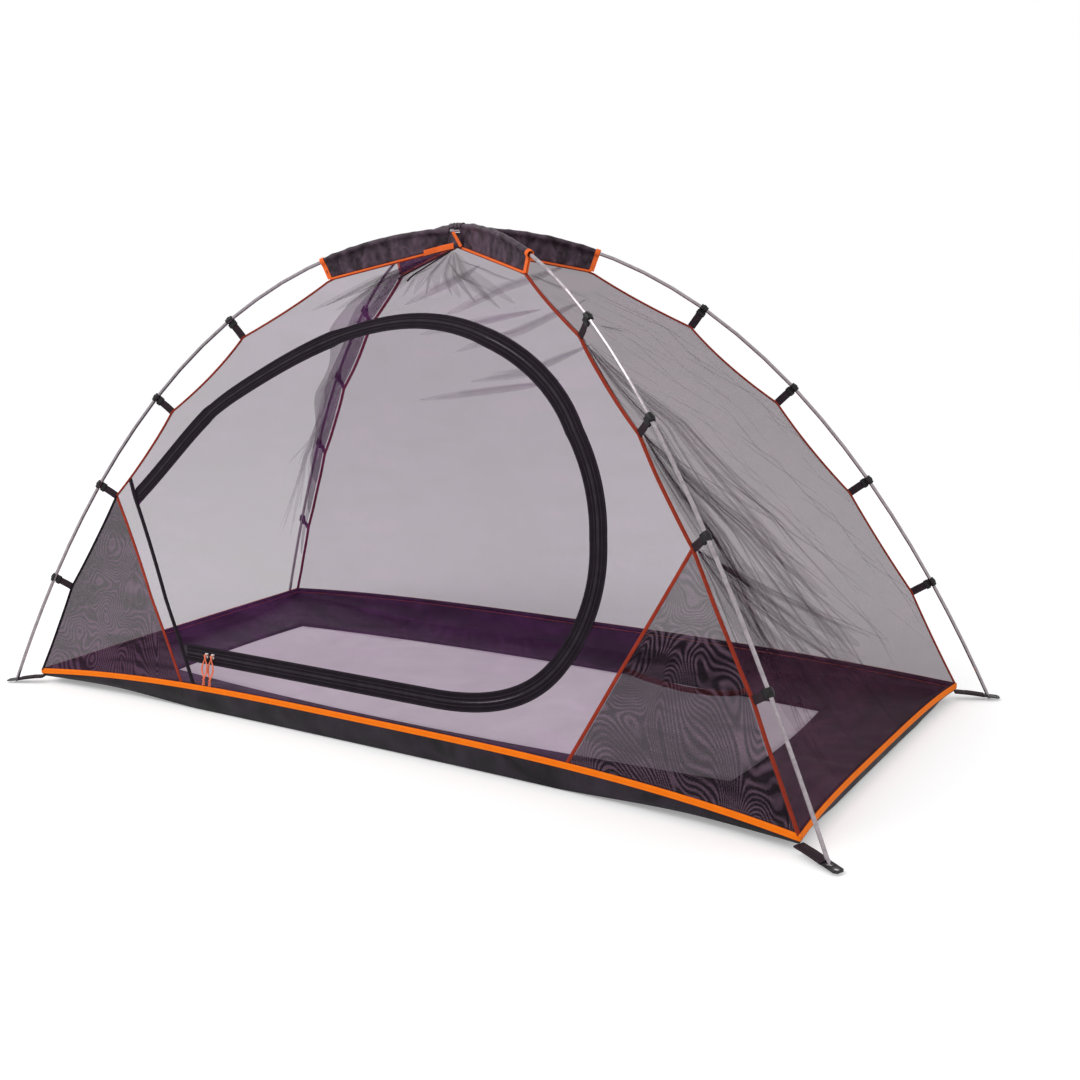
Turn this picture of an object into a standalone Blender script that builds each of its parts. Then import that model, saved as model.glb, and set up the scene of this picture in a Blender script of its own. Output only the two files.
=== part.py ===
"""Mosquito net tent for one person: a net body with a dark tub floor, hung inside two crossed poles.

Axes: X runs along the sleeper, the door is on the side at -Y, Z is up and the ground is Z = 0.
The lower pole runs from the front left foot to the back right one. The upper pole crosses over it.
"""
import math

import bmesh
import bpy
import numpy as np
from mathutils import Matrix, Vector
from mathutils.geometry import delaunay_2d_cdt

# Ground plan and height
foot_spread_x = 2.200
foot_spread_y = 1.010
arch_height = 1.1010
net_peak_drop = 0.0410

# Poles: six tubes each, joined by glued-in ferrules over a shock cord
pole_diameter = 0.0085
pole_wall = 0.0006
ferrule_diameter = 0.0066
ferrule_bore = 0.0048
ferrule_length = 0.060
shock_cord_diameter = 0.0026
tip_pin_diameter = 0.0052
tip_pin_length = 0.0127
tip_end_start = 0.0008
tip_chamfer = 0.0010
tip_plug_depth = 0.018
cord_end_inset = 0.036
sections_per_pole = 6
end_section_length = 0.460
pole_step = 0.078
pole_sides = 8
crossing_gap = 0.0006
curve_steps = 201

# Each half arch is one smooth curve: how far its foot handle leans in and rises, and its crown handle
lower_foot_lean = 0.232
lower_foot_rise = 0.517
lower_crown_reach = 0.600
upper_foot_lean = 0.274
upper_foot_rise = 0.511
upper_crown_reach = 0.537

# Clips and straps, measured along the pole from its foot
lower_clip_distances = (0.310, 0.588, 0.859, 1.129)
upper_clip_distances = (0.314, 0.618, 0.879, 1.151)
clip_seat = 0.0220
strap_reach = 0.0500
strap_thickness = 0.0016
strap_width = 0.0180
hook_wall = 0.0034
hook_mouth_start = 290.0
hook_neck_angle = 24.0
hook_steps = 10
hook_pad_thickness = 0.0052
hook_pad_length = 0.0080

# Sleeves near the top
sleeve_start_distance = 1.400
sleeve_drop = 0.0450
sleeve_fabric = 0.0010
sleeve_slack = 0.0012
sleeve_end_from_crossing = 0.026
sleeve_fold_turns = (-140, -80, -27, 27, 80, 140)
sleeve_leg_share = 1.6

# Net walls and their corner seams
net_thickness = 0.0008
seam_tape_diameter = 0.0050
seam_top_drop = 0.0050
wall_sag = 0.022
seam_sags = (0.002, 0.003, 0.007, 0.012, 0.009, 0.0)
seam_runs = (2, 3, 3, 4, 3, 2)
net_mesh_size = 0.085
hem_mesh_size = 0.100
seam_mesh_size = 0.090
edge_clearance_share = 0.45

# Hem and tub
hem_corner_radius = 1.1350
hem_corner_height = 0.0300
hem_rise_long = 0.0350
hem_rise_end = 0.0050
hem_tape_width = 0.0140
hem_tape_thickness = 0.0024
tub_thickness = 0.0010
tub_foot_inset_long = 0.0150
tub_foot_inset_end = 0.0100
tub_corner_foot_inset = 0.0080
tub_corner_lift = 0.0160
tub_lift_start_long = 0.450
tub_lift_end_long = 0.850
tub_lift_start_end = 0.200
tub_lift_end_end = 0.470
tub_belly_share = 0.25
tub_near_share = 0.35
tub_near_lift_share = 0.45
long_steps = 20
end_steps = 10

# Light floor panel
floor_length = 1.580
floor_width = 0.470
floor_bow_long = 0.040
floor_bow_end = 0.012
floor_thickness = 0.0010

# Door, its zip and its hinge tape, as (along, up) on the front wall
hinge_foot = (-0.5420, 0.1390)
hinge_head = (-0.7420, 0.4830)
zip_run_height = 0.1390
zip_run_end = 0.200
door_right = 0.566
door_right_height = 0.440
door_top = 0.902
door_top_centre = 0.030
door_lower_corner = (0.470, 0.2120)
door_right_shoulder = (0.425, 0.7450)
door_left_shoulder = (-0.470, 0.7400)
zip_tape_width = 0.0195
zip_coil_width = 0.0032
zip_coil_height = 0.0014
zip_trim = 0.0140
zip_run_step = 0.125
zip_arc_steps = 6
hinge_tape_width = 0.0120
hinge_tape_step = 0.050
hinge_axis_proud = 0.0040
tape_thickness = 0.0012

# Gussets and pocket
gusset_foot_along = 0.540
gusset_tip_cut = 0.020
pocket_height = 0.2600
pocket_droop = 0.0200
pocket_belly = 0.0260
pocket_side_inset = 0.0060
pocket_clearance = 0.0017
pocket_foot_rise = 0.0120
pocket_columns = 9
pocket_rows = 6

# Zip sliders and cord pulls
left_slider_along = -0.4600
right_slider_along = -0.4400
slider_length = 0.0100
slider_width = 0.0116
slider_plate = 0.0013
slider_rail_wall = 0.0020
bail_length = 0.0080
bail_post = 0.0016
bail_bar = 0.0020
bail_width = 0.0020
pull_cord_diameter = 0.0022
pull_length = 0.0560
knot_diameter = 0.0068
tail_length = 0.0120
pull_bend_shares = (0.25, 0.6)
pull_loop_steps = 8

# Corner tabs
tab_end_radius = 1.2330
tab_width = 0.0240
tab_thickness = 0.0018
tab_foot_height = 0.0075
tab_corner_height = 0.0160
tab_pin_hole = 0.0090
tab_peg_hole = 0.0088
tab_hole_spacing = 0.0165
tab_start_gap = 0.0004
tab_corner_round = 0.0050
hole_sides = 16

# Fits
gap = 0.0003
cut_gap = 0.0002
slide_gap = 0.0006

half_diagonal = math.hypot(foot_spread_x, foot_spread_y) / 2
net_peak_height = arch_height - net_peak_drop
plan_angle = math.atan2(foot_spread_y, foot_spread_x)
along_share = math.cos(plan_angle)
across_share = math.sin(plan_angle)
pole_radius = pole_diameter / 2
pole_bore = pole_radius - pole_wall
crossing_rise = (pole_diameter + crossing_gap) / 2
clips_per_leg = len(lower_clip_distances)

for old in list(bpy.data.objects):
    bpy.data.objects.remove(old, do_unlink=True)

tent = bpy.data.collections.new("mosquito_net_tent")
bpy.context.scene.collection.children.link(tent)
cutters = bpy.data.collections.new("cutters")
bpy.context.scene.collection.children.link(cutters)


def finish(name, colour, roughness, metallic=0.0):
    """Make one plain finish from its colour, roughness and metallic value."""
    material = bpy.data.materials.new(name)
    material.use_nodes = True
    shader = material.node_tree.nodes["Principled BSDF"]
    shader.inputs["Base Color"].default_value = (*colour, 1.0)
    shader.inputs["Roughness"].default_value = roughness
    shader.inputs["Metallic"].default_value = metallic
    return material


net_colour = (0.33, 0.28, 0.32)
dark_net_colour = (0.10, 0.085, 0.10)
black_colour = (0.018, 0.016, 0.022)
orange_colour = (1.0, 0.22, 0.02)
red_colour = (0.38, 0.05, 0.03)
strap_colour = (0.045, 0.035, 0.040)
charcoal_colour = (0.065, 0.050, 0.062)
floor_colour = (0.42, 0.37, 0.43)
silver_colour = (0.78, 0.78, 0.80)
soft_roughness = 0.85
sheen_roughness = 0.45
metal_roughness = 0.25


def place(name, mesh, colour, roughness=soft_roughness, metallic=0.0, smooth_angle=None):
    """Add a finished mesh to the tent as one named object with its own finish."""
    node = bpy.data.objects.new(name, mesh)
    tent.objects.link(node)
    mesh.materials.clear()
    mesh.materials.append(finish(name + "_finish", colour, roughness, metallic))
    if smooth_angle is not None:
        mesh.shade_smooth()
        mesh.set_sharp_from_angle(angle=math.radians(smooth_angle))
    return node


def mesh_from(name, points, faces):
    """Make a mesh whose faces all point outwards."""
    mesh = bpy.data.meshes.new(name)
    mesh.from_pydata([tuple(point) for point in points], [], faces)
    work = bmesh.new()
    work.from_mesh(mesh)
    bmesh.ops.recalc_face_normals(work, faces=work.faces)
    work.to_mesh(mesh)
    work.free()
    return mesh


def smooth_step(value):
    """Rise smoothly from 0 to 1 as the value goes from 0 to 1."""
    held = min(max(value, 0.0), 1.0)
    return held * held * (3 - 2 * held)


# Arches


class Arch:
    """The centre line of one pole, in the upright plane through two opposite feet."""

    def __init__(self, side, lean, rise, crown, height, clip_distances):
        self.heading = Vector((along_share, side * across_share, 0.0))
        self.binormal = Vector((-side * across_share, along_share, 0.0))
        steps = np.linspace(0.0, 1.0, curve_steps)[:, None]
        handles = [(half_diagonal, 0.0), (half_diagonal - lean, rise), (crown, height), (0.0, height)]
        corners = [np.array(handle) for handle in handles]
        half = (1 - steps) ** 3 * corners[0] + 3 * (1 - steps) ** 2 * steps * corners[1]
        half = half + 3 * (1 - steps) * steps ** 2 * corners[2] + steps ** 3 * corners[3]
        far = half[::-1][1:]
        smooth = np.vstack([half * np.array([-1.0, 1.0]), far])
        runs = np.concatenate([[0.0], np.cumsum(np.hypot(*np.diff(smooth, axis=0).T))])
        knots = self.knots(float(runs[-1]), clip_distances)
        line = np.array([[np.interp(knot, runs, smooth[:, axis]) for axis in (0, 1)] for knot in knots])
        self.line = line
        self.distances = np.concatenate([[0.0], np.cumsum(np.hypot(*np.diff(line, axis=0).T))])
        self.length = float(self.distances[-1])
        starts = [knots.index(distance - clip_seat / 2) for distance in clip_distances]
        self.clips = [float(self.distances[at] + self.distances[at + 1]) / 2 for at in starts]

    def knots(self, length, clip_distances):
        """Distances at which the pole's line turns: even steps, with one straight seat under each clip."""
        seats = []
        for distance in clip_distances:
            seats.append((distance - clip_seat / 2, distance + clip_seat / 2))
        stops = [0.0] + [stop for seat in seats for stop in seat] + [length / 2]
        half = [0.0]
        for low, high in zip(stops, stops[1:]):
            count = max(1, int(round((high - low) / pole_step)))
            half.extend(low + (high - low) * step / count for step in range(1, count))
            half.append(high)
        return half + [length - knot for knot in half[::-1][1:]]

    def between(self, start, end):
        """The start, the turning points between them, and the end."""
        inner = [float(stop) for stop in self.distances if start + clip_seat / 4 < stop < end - clip_seat / 4]
        return [start] + inner + [end]

    def flat(self, distance):
        """Radius and height at a distance along the pole from its left foot."""
        radius = np.interp(distance, self.distances, self.line[:, 0])
        height = np.interp(distance, self.distances, self.line[:, 1])
        return float(radius), float(height)

    def point(self, distance):
        radius, height = self.flat(distance)
        return self.heading * radius + Vector((0.0, 0.0, height))

    def tangent(self, distance):
        step = clip_seat / 20
        low = max(distance - step, 0.0)
        high = min(distance + step, self.length)
        return (self.point(high) - self.point(low)).normalized()

    def inward(self, distance):
        """The direction from the pole to the net, square to the pole in the arch's plane."""
        return self.binormal.cross(self.tangent(distance)).normalized() * -self.turn()

    def turn(self):
        """1 or -1, so that inward points down at the crown."""
        crown = self.binormal.cross(self.heading)
        return 1.0 if crown.z > 0 else -1.0


lower_height = arch_height - crossing_rise
upper_height = arch_height + crossing_rise
lower_arch = Arch(1, lower_foot_lean, lower_foot_rise, lower_crown_reach, lower_height, lower_clip_distances)
upper_arch = Arch(-1, upper_foot_lean, upper_foot_rise, upper_crown_reach, upper_height, upper_clip_distances)


def ring(arch, distance, radius, sides):
    """One round section of a pole."""
    centre = arch.point(distance)
    inward = arch.inward(distance)
    points = []
    for side in range(sides):
        turn = 2 * math.pi * (side + 0.5) / sides
        points.append(centre + (arch.binormal * math.cos(turn) + inward * math.sin(turn)) * radius)
    return points


def turned_along(name, arch, profile, closed, sides=pole_sides):
    """A turned profile that follows the pole's curve: a loop of rings, or a run with both ends capped."""
    points = []
    for distance, radius in profile:
        points.extend(ring(arch, distance, radius, sides))
    faces = []
    count = len(profile)
    last = count if closed else count - 1
    for step in range(last):
        here = step * sides
        there = (step + 1) % count * sides
        for side in range(sides):
            after = (side + 1) % sides
            faces.append((here + side, here + after, there + after, there + side))
    if not closed:
        faces.append(tuple(range(sides)))
        faces.append(tuple(range((count - 1) * sides, count * sides)))
    return mesh_from(name, points, faces)


def pole_section(name, arch, index):
    """One tube of a pole. All but the last hold a ferrule, and the end ones hold a tip."""
    first = index == 0
    last = index == sections_per_pole - 1
    reach = (arch.length - 2 * end_section_length) / (sections_per_pole - 2)
    low = end_section_length + reach * (index - 1)
    high = arch.length if last else end_section_length + reach * index
    bore = pole_bore
    spigot = ferrule_diameter / 2
    narrow = ferrule_bore / 2
    pin = tip_pin_diameter / 2
    if first:
        low = tip_pin_length
    else:
        low = low + gap / 2
    if last:
        high = arch.length - tip_pin_length
    else:
        high = high - gap / 2
    outside = [(distance, pole_radius) for distance in arch.between(low, high)]
    if last:
        end = arch.length
        outside.append((high, pin))
        outside.append((end - tip_end_start - tip_chamfer, pin))
        outside.append((end - tip_end_start, pin - tip_chamfer))
        inside = [(distance, bore) for distance in arch.between(low, high - tip_plug_depth)]
        return turned_along(name, arch, outside[::-1] + inside, False)
    outside.extend((distance, spigot) for distance in arch.between(high, high + ferrule_length))
    ferrule = arch.between(high - ferrule_length, high + ferrule_length)
    start = low + tip_plug_depth if first else low
    inside = [(distance, narrow) for distance in ferrule[::-1]]
    inside.extend((distance, bore) for distance in arch.between(start, high - ferrule_length)[::-1])
    if first:
        tip = [(tip_end_start, pin - tip_chamfer), (tip_end_start + tip_chamfer, pin), (low, pin)]
        return turned_along(name, arch, tip + outside + inside, False)
    return turned_along(name, arch, outside + inside, True)


def tube_curve(name, points, diameter, resolution=2):
    """A round cord or rod through the points, as a closed mesh."""
    data = bpy.data.curves.new(name, "CURVE")
    data.dimensions = "3D"
    data.bevel_depth = diameter / 2
    data.bevel_resolution = resolution
    data.use_fill_caps = True
    line = data.splines.new("POLY")
    line.points.add(len(points) - 1)
    for slot, point in zip(line.points, points):
        slot.co = (*point, 1.0)
    return mesh_of_curve(name, data)


def mesh_of_curve(name, data):
    """Turn a curve into a closed mesh with welded caps."""
    guide = bpy.data.objects.new(name + "_guide", data)
    cutters.objects.link(guide)
    bpy.context.view_layer.update()
    seen = guide.evaluated_get(bpy.context.evaluated_depsgraph_get())
    mesh = bpy.data.meshes.new_from_object(seen)
    mesh.name = name
    bpy.data.objects.remove(guide, do_unlink=True)
    work = bmesh.new()
    work.from_mesh(mesh)
    bmesh.ops.remove_doubles(work, verts=work.verts, dist=gap / 30)
    bmesh.ops.recalc_face_normals(work, faces=work.faces)
    work.to_mesh(mesh)
    work.free()
    return mesh


def flat_outline(name, loops, depth):
    """A flat outline with any holes, extruded to its depth about its own plane."""
    data = bpy.data.curves.new(name, "CURVE")
    data.dimensions = "2D"
    data.fill_mode = "BOTH"
    data.extrude = depth / 2
    for loop in loops:
        line = data.splines.new("POLY")
        line.points.add(len(loop) - 1)
        for slot, point in zip(line.points, loop):
            slot.co = (point[0], point[1], 0.0, 1.0)
        line.use_cyclic_u = True
    return mesh_of_curve(name, data)


def circle(centre, radius, count):
    """Points round a circle."""
    turns = [2 * math.pi * step / count for step in range(count)]
    return [(centre[0] + radius * math.cos(turn), centre[1] + radius * math.sin(turn)) for turn in turns]


for arch, side_name in ((lower_arch, "lower"), (upper_arch, "upper")):
    for index in range(sections_per_pole):
        name = f"{side_name}_pole_section_{index + 1}"
        mesh = pole_section(name, arch, index)
        place(name, mesh, silver_colour, metal_roughness, 1.0, smooth_angle=50)
    route = [arch.point(stop) for stop in arch.between(cord_end_inset, arch.length - cord_end_inset)]
    mesh = tube_curve(f"{side_name}_shock_cord", route, shock_cord_diameter, resolution=1)
    place(f"{side_name}_shock_cord", mesh, black_colour, smooth_angle=60)

# Clips with their straps


def clip_outline():
    """The hook over the pole, its neck and pad, and the strap's edge, in the plane square to the pole."""
    bore = pole_radius + gap
    outer = bore + hook_wall
    start = math.degrees(math.asin(hook_pad_thickness / 2 / outer))
    outside_turns = np.linspace(-start, -hook_mouth_start, hook_steps)
    inside_turns = np.linspace(-hook_mouth_start, 0.0, hook_steps)
    points = []
    for turn in outside_turns:
        points.append((outer * math.cos(math.radians(turn)), outer * math.sin(math.radians(turn))))
    for turn in inside_turns:
        points.append((bore * math.cos(math.radians(turn)), bore * math.sin(math.radians(turn))))
    mouth = math.radians(hook_neck_angle)
    points.append((bore * math.cos(mouth), bore * math.sin(mouth)))
    pad_end = outer + hook_pad_length
    strap_end = strap_reach - seam_tape_diameter / 2 - gap
    points.append((outer * math.cos(mouth), hook_pad_thickness / 2))
    points.append((pad_end, hook_pad_thickness / 2))
    points.append((pad_end, strap_thickness / 2))
    points.append((strap_end, strap_thickness / 2))
    points.append((strap_end, -strap_thickness / 2))
    points.append((pad_end, -strap_thickness / 2))
    points.append((pad_end, -hook_pad_thickness / 2))
    return points


clip_mesh = flat_outline("pole_clip", [clip_outline()], strap_width)


def clip_leg(arch, leg_name, from_end):
    """The clips of one leg, numbered from the foot up."""
    for index, distance in enumerate(arch.clips):
        at = arch.length - distance if from_end else distance
        inward = arch.inward(at)
        tangent = arch.tangent(at)
        sideways = tangent.cross(inward).normalized()
        turn = Matrix((inward, sideways, tangent)).transposed().to_4x4()
        node = place(f"{leg_name}_clip_{index + 1}", clip_mesh.copy(), strap_colour, sheen_roughness)
        node.rotation_mode = "QUATERNION"
        node.rotation_quaternion = turn.to_quaternion()
        node.location = arch.point(at)


clip_leg(lower_arch, "front_left", False)
clip_leg(lower_arch, "back_right", True)
clip_leg(upper_arch, "back_left", False)
clip_leg(upper_arch, "front_right", True)

# Corner seams of the net


class Seam:
    """A corner seam of the net, from the hem up to the peak, in the plane of its arch."""

    def __init__(self, arch, side):
        self.arch = arch
        self.direction = arch.heading * side
        anchors = [(hem_corner_radius, hem_corner_height)]
        drops = [(distance, strap_reach) for distance in arch.clips]
        drops.append((sleeve_start_distance, sleeve_drop))
        for distance, drop in drops:
            radius, height = arch.flat(distance)
            inward = arch.inward(distance)
            anchors.append((abs(radius) - abs(inward.to_2d().length) * drop, height + inward.z * drop))
        anchors.append((0.0, net_peak_height))
        self.strap_heights = [anchor[1] for anchor in anchors[1:1 + clips_per_leg]]
        self.stops = []
        self.radii = []
        for span, (low, high) in enumerate(zip(anchors, anchors[1:])):
            count = seam_runs[span]
            for step in range(count):
                share = step / count
                draw = seam_sags[span] * 4 * share * (1 - share)
                self.stops.append(low[1] + (high[1] - low[1]) * share)
                self.radii.append(low[0] + (high[0] - low[0]) * share - draw)
        self.stops.append(anchors[-1][1])
        self.radii.append(anchors[-1][0])

    def radius(self, height):
        """How far the seam is from the tent's middle at a height, as straight runs drawn in between straps."""
        return float(np.interp(height, self.stops, self.radii))

    def point(self, height):
        return self.direction * self.radius(height) + Vector((0.0, 0.0, height))


seams = {
    "front_left": Seam(lower_arch, -1),
    "back_right": Seam(lower_arch, 1),
    "back_left": Seam(upper_arch, -1),
    "front_right": Seam(upper_arch, 1),
}


class Wall:
    """One side of the net, ruled level between two corner seams and drawn in towards its middle."""

    def __init__(self, low_seam, high_seam, axis, inward):
        self.low = seams[low_seam]
        self.high = seams[high_seam]
        self.axis = axis
        self.inward = inward

    def point(self, along, height):
        """The wall's middle surface."""
        low = self.low.point(height)
        high = self.high.point(height)
        reach = max(high[self.axis] - low[self.axis], gap)
        share = min(max((along - low[self.axis]) / reach, 0.0), 1.0)
        other = 1 - self.axis
        depth = low[other] + (high[other] - low[other]) * share
        draw = wall_sag * reach / foot_spread_x * (1 - (2 * share - 1) ** 4)
        place_at = [0.0, 0.0, height]
        place_at[self.axis] = along
        place_at[other] = depth + draw * self.inward
        return Vector(place_at)

    def normal(self, along, height):
        """The direction out of the tent, square to the surface."""
        step = net_mesh_size / 40
        side = self.point(along + step, height) - self.point(along - step, height)
        up = self.point(along, height + step) - self.point(along, height - step)
        out = side.cross(up).normalized()
        facing = Vector((0.0, 0.0, 0.0))
        facing[1 - self.axis] = -self.inward
        return out if out.dot(facing) > 0 else -out

    def edge(self, height, high_side):
        """Where cloth stops beside the seam tape at a height."""
        seam = self.high if high_side else self.low
        step = net_mesh_size / 20
        here = seam.point(height)
        above = (seam.point(min(height + step, net_peak_height)) - here).normalized()
        below = (here - seam.point(max(height - step, 0.0))).normalized()
        level = max(abs(above[self.axis]), abs(below[self.axis]))
        room = (seam_tape_diameter / 2 + gap) / math.sqrt(1 - level * level)
        where = here[self.axis]
        return where - room if high_side else where + room


front = Wall("front_left", "front_right", 0, 1)
back = Wall("back_left", "back_right", 0, -1)
left_end = Wall("front_left", "back_left", 1, 1)
right_end = Wall("front_right", "back_right", 1, -1)
hem_half_long = hem_corner_radius * along_share
hem_half_end = hem_corner_radius * across_share


def hem_height(wall, along):
    """The height of the hem tape's middle along a wall."""
    half = hem_half_long if wall.axis == 0 else hem_half_end
    rise = hem_rise_long if wall.axis == 0 else hem_rise_end
    share = min(abs(along) / half, 1.0)
    return hem_corner_height + rise * (1 - share ** 3)


def spread(start, end, size):
    """Points between two flat points, both included, no further apart than the size."""
    length = math.hypot(end[0] - start[0], end[1] - start[1])
    count = max(1, int(math.ceil(length / size)))
    shares = [step / count for step in range(count + 1)]
    return [(start[0] + (end[0] - start[0]) * s, start[1] + (end[1] - start[1]) * s) for s in shares]


def inside(point, loop):
    """True if a flat point is inside a closed loop."""
    found = False
    for here, there in zip(loop, loop[1:] + loop[:1]):
        if (here[1] > point[1]) != (there[1] > point[1]):
            cross = here[0] + (point[1] - here[1]) * (there[0] - here[0]) / (there[1] - here[1])
            if point[0] < cross:
                found = not found
    return found


def loop_distance(point, loop):
    """The distance from a flat point to a closed loop."""
    best = math.inf
    for here, there in zip(loop, loop[1:] + loop[:1]):
        run = (there[0] - here[0], there[1] - here[1])
        size = run[0] * run[0] + run[1] * run[1]
        share = ((point[0] - here[0]) * run[0] + (point[1] - here[1]) * run[1]) / size
        share = min(max(share, 0.0), 1.0)
        best = min(best, math.hypot(point[0] - here[0] - run[0] * share, point[1] - here[1] - run[1] * share))
    return best


def within_cut(vertices, triangles, edges, outer, holes):
    """The triangles inside the outline: the widest one there, and all that it reaches without crossing a cut."""
    cuts = {frozenset(edge) for edge in edges}
    beside = {}
    for index, triangle in enumerate(triangles):
        for here, there in zip(triangle, triangle[1:] + triangle[:1]):
            beside.setdefault(frozenset((here, there)), []).append(index)
    widest = None
    best = 0.0
    for index, triangle in enumerate(triangles):
        low, middle, high = (vertices[corner] for corner in triangle)
        centre = (low + middle + high) / 3
        area = abs((middle - low).cross(high - low))
        if area > best and inside(centre, outer) and not any(inside(centre, hole) for hole in holes):
            widest = index
            best = area
    reached = {widest}
    waiting = [widest]
    while waiting:
        triangle = triangles[waiting.pop()]
        for here, there in zip(triangle, triangle[1:] + triangle[:1]):
            side = frozenset((here, there))
            if side in cuts:
                continue
            for index in beside[side]:
                if index not in reached:
                    reached.add(index)
                    waiting.append(index)
    return [tuple(triangles[index]) for index in sorted(reached)]


def cloth(name, surface, outer, holes, colour, size=net_mesh_size, thickness=net_thickness):
    """Cut a piece of cloth to a flat outline, lay it on the surface and give it its thickness."""
    loops = [outer] + holes
    points = [point for loop in loops for point in loop]
    edges = []
    start = 0
    for loop in loops:
        count = len(loop)
        edges.extend((start + step, start + (step + 1) % count) for step in range(count))
        start += count
    low = [min(point[axis] for point in outer) for axis in (0, 1)]
    high = [max(point[axis] for point in outer) for axis in (0, 1)]
    rows = int((high[1] - low[1]) / size) + 2
    columns = int((high[0] - low[0]) / size) + 2
    for row in range(rows):
        for column in range(columns):
            shift = size / 2 if row % 2 else 0.0
            point = (low[0] + column * size + shift, low[1] + row * size)
            if inside(point, outer) and not any(inside(point, hole) for hole in holes):
                if all(loop_distance(point, loop) > size * edge_clearance_share for loop in loops):
                    points.append(point)
    flat = [Vector(point) for point in points]
    vertices, _, triangles, *_ = delaunay_2d_cdt(flat, edges, [], 0, gap / 30)
    kept = within_cut(vertices, triangles, edges, outer, holes)
    used = sorted({corner for triangle in kept for corner in triangle})
    where = {corner: index for index, corner in enumerate(used)}
    mesh = mesh_from(
        name,
        [surface.point(*vertices[corner]) for corner in used],
        [tuple(where[corner] for corner in triangle) for triangle in kept],
    )
    node = place(name, mesh, colour, smooth_angle=40)
    shell = node.modifiers.new("thickness", "SOLIDIFY")
    shell.thickness = thickness
    shell.offset = 0.0
    return node


def edge_run(wall, low, high, high_side):
    """The cut edge beside a corner seam between two heights, going up."""
    seam = wall.high if high_side else wall.low
    inner = [stop for stop in seam.stops if low + hem_tape_thickness < stop < high - hem_tape_thickness]
    return [(wall.edge(height, high_side), height) for height in [low] + inner + [high]]


def hem_run(wall, start, end, size, above):
    """The cut edge just above the hem tape, or just under it, between two places along the wall."""
    offset = hem_tape_width / 2 + gap
    offset = offset if above else -offset
    count = max(1, int(math.ceil(abs(end - start) / size)))
    places = [start + (end - start) * step / count for step in range(count + 1)]
    return [(place_at, hem_height(wall, place_at) + offset) for place_at in places]


def corner_foot(wall, high_side):
    """The lowest cut corner of a wall, beside the seam tape and above the hem tape."""
    height = hem_corner_height + hem_tape_width / 2 + gap
    for _ in range(4):
        along = wall.edge(height, high_side)
        height = hem_height(wall, along) + hem_tape_width / 2 + gap
    return along, height


seam_top = net_peak_height - seam_top_drop


def plain_wall(name, wall, colour):
    """A whole net wall from seam to seam and from the hem to the peak."""
    low = corner_foot(wall, False)
    high = corner_foot(wall, True)
    up = edge_run(wall, high[1], seam_top, True)
    down = edge_run(wall, low[1], seam_top, False)[::-1]
    base = hem_run(wall, low[0], high[0], hem_mesh_size, True)
    return cloth(name, wall, base + up[1:] + down[:-1], [], colour)


plain_wall("back_net_wall", back, net_colour)
plain_wall("left_net_wall", left_end, net_colour)
plain_wall("right_net_wall", right_end, net_colour)

# Door outline on the front wall


def curve_through(points, first_handle, last_handle, steps):
    """A smooth curve through flat points, with the given directions at its two ends."""
    curve = []
    count = len(points)
    for index in range(count - 1):
        before = points[index - 1] if index else None
        after = points[index + 2] if index + 2 < count else None
        here = np.array(points[index])
        there = np.array(points[index + 1])
        reach = np.linalg.norm(there - here)
        if before is None:
            leave = np.array(first_handle) * reach
        else:
            leave = tangent_at(points, index) * reach
        if after is None:
            arrive = np.array(last_handle) * reach
        else:
            arrive = tangent_at(points, index + 1) * reach
        for step in range(steps):
            t = step / steps
            blend = (2 * t ** 3 - 3 * t ** 2 + 1) * here + (t ** 3 - 2 * t ** 2 + t) * leave
            blend = blend + (3 * t ** 2 - 2 * t ** 3) * there + (t ** 3 - t ** 2) * arrive
            curve.append((float(blend[0]), float(blend[1])))
    curve.append(points[-1])
    return curve


def tangent_at(points, index):
    """The direction of the curve at an inner point, from its neighbours."""
    back_run = np.array(points[index]) - np.array(points[index - 1])
    next_run = np.array(points[index + 1]) - np.array(points[index])
    back_run = back_run / np.linalg.norm(back_run)
    next_run = next_run / np.linalg.norm(next_run)
    both = back_run + next_run
    return both / np.linalg.norm(both)


def trimmed(path, start, end):
    """The part of a flat path between two distances from its ends."""
    lengths = [0.0]
    for here, there in zip(path, path[1:]):
        lengths.append(lengths[-1] + math.hypot(there[0] - here[0], there[1] - here[1]))
    total = lengths[-1]
    along = [point[0] for point in path]
    up = [point[1] for point in path]
    clear = gap * 5
    kept = [length for length in lengths if start + clear < length < total - end - clear]
    kept = [start] + kept + [total - end]
    return [(float(np.interp(d, lengths, along)), float(np.interp(d, lengths, up))) for d in kept]


def offset_path(path, distance):
    """A flat path moved to its right-hand side by a distance."""
    moved = []
    for index, point in enumerate(path):
        before = path[max(index - 1, 0)]
        after = path[min(index + 1, len(path) - 1)]
        run = (after[0] - before[0], after[1] - before[1])
        size = math.hypot(*run)
        moved.append((point[0] + run[1] / size * distance, point[1] - run[0] / size * distance))
    return moved


hinge_run = Vector(hinge_head) - Vector(hinge_foot)
hinge_direction = hinge_run.normalized()
arc_points = [
    (zip_run_end, zip_run_height),
    door_lower_corner,
    (door_right, door_right_height),
    door_right_shoulder,
    (door_top_centre, door_top),
    door_left_shoulder,
    hinge_head,
]
last_direction = (door_left_shoulder[0] - hinge_head[0], door_left_shoulder[1] - hinge_head[1])
last_length = math.hypot(*last_direction)
last_handle = (-last_direction[0] / last_length, -last_direction[1] / last_length)
door_arc = curve_through(arc_points, (1.0, 0.0), last_handle, zip_arc_steps)
door_path = spread(hinge_foot, (zip_run_end, zip_run_height), zip_run_step)[:-1] + door_arc
zip_path = trimmed(door_path, zip_trim, zip_trim)
tape_edge = zip_tape_width + gap + cut_gap
hinge_half = hinge_tape_width / 2 + gap


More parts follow.
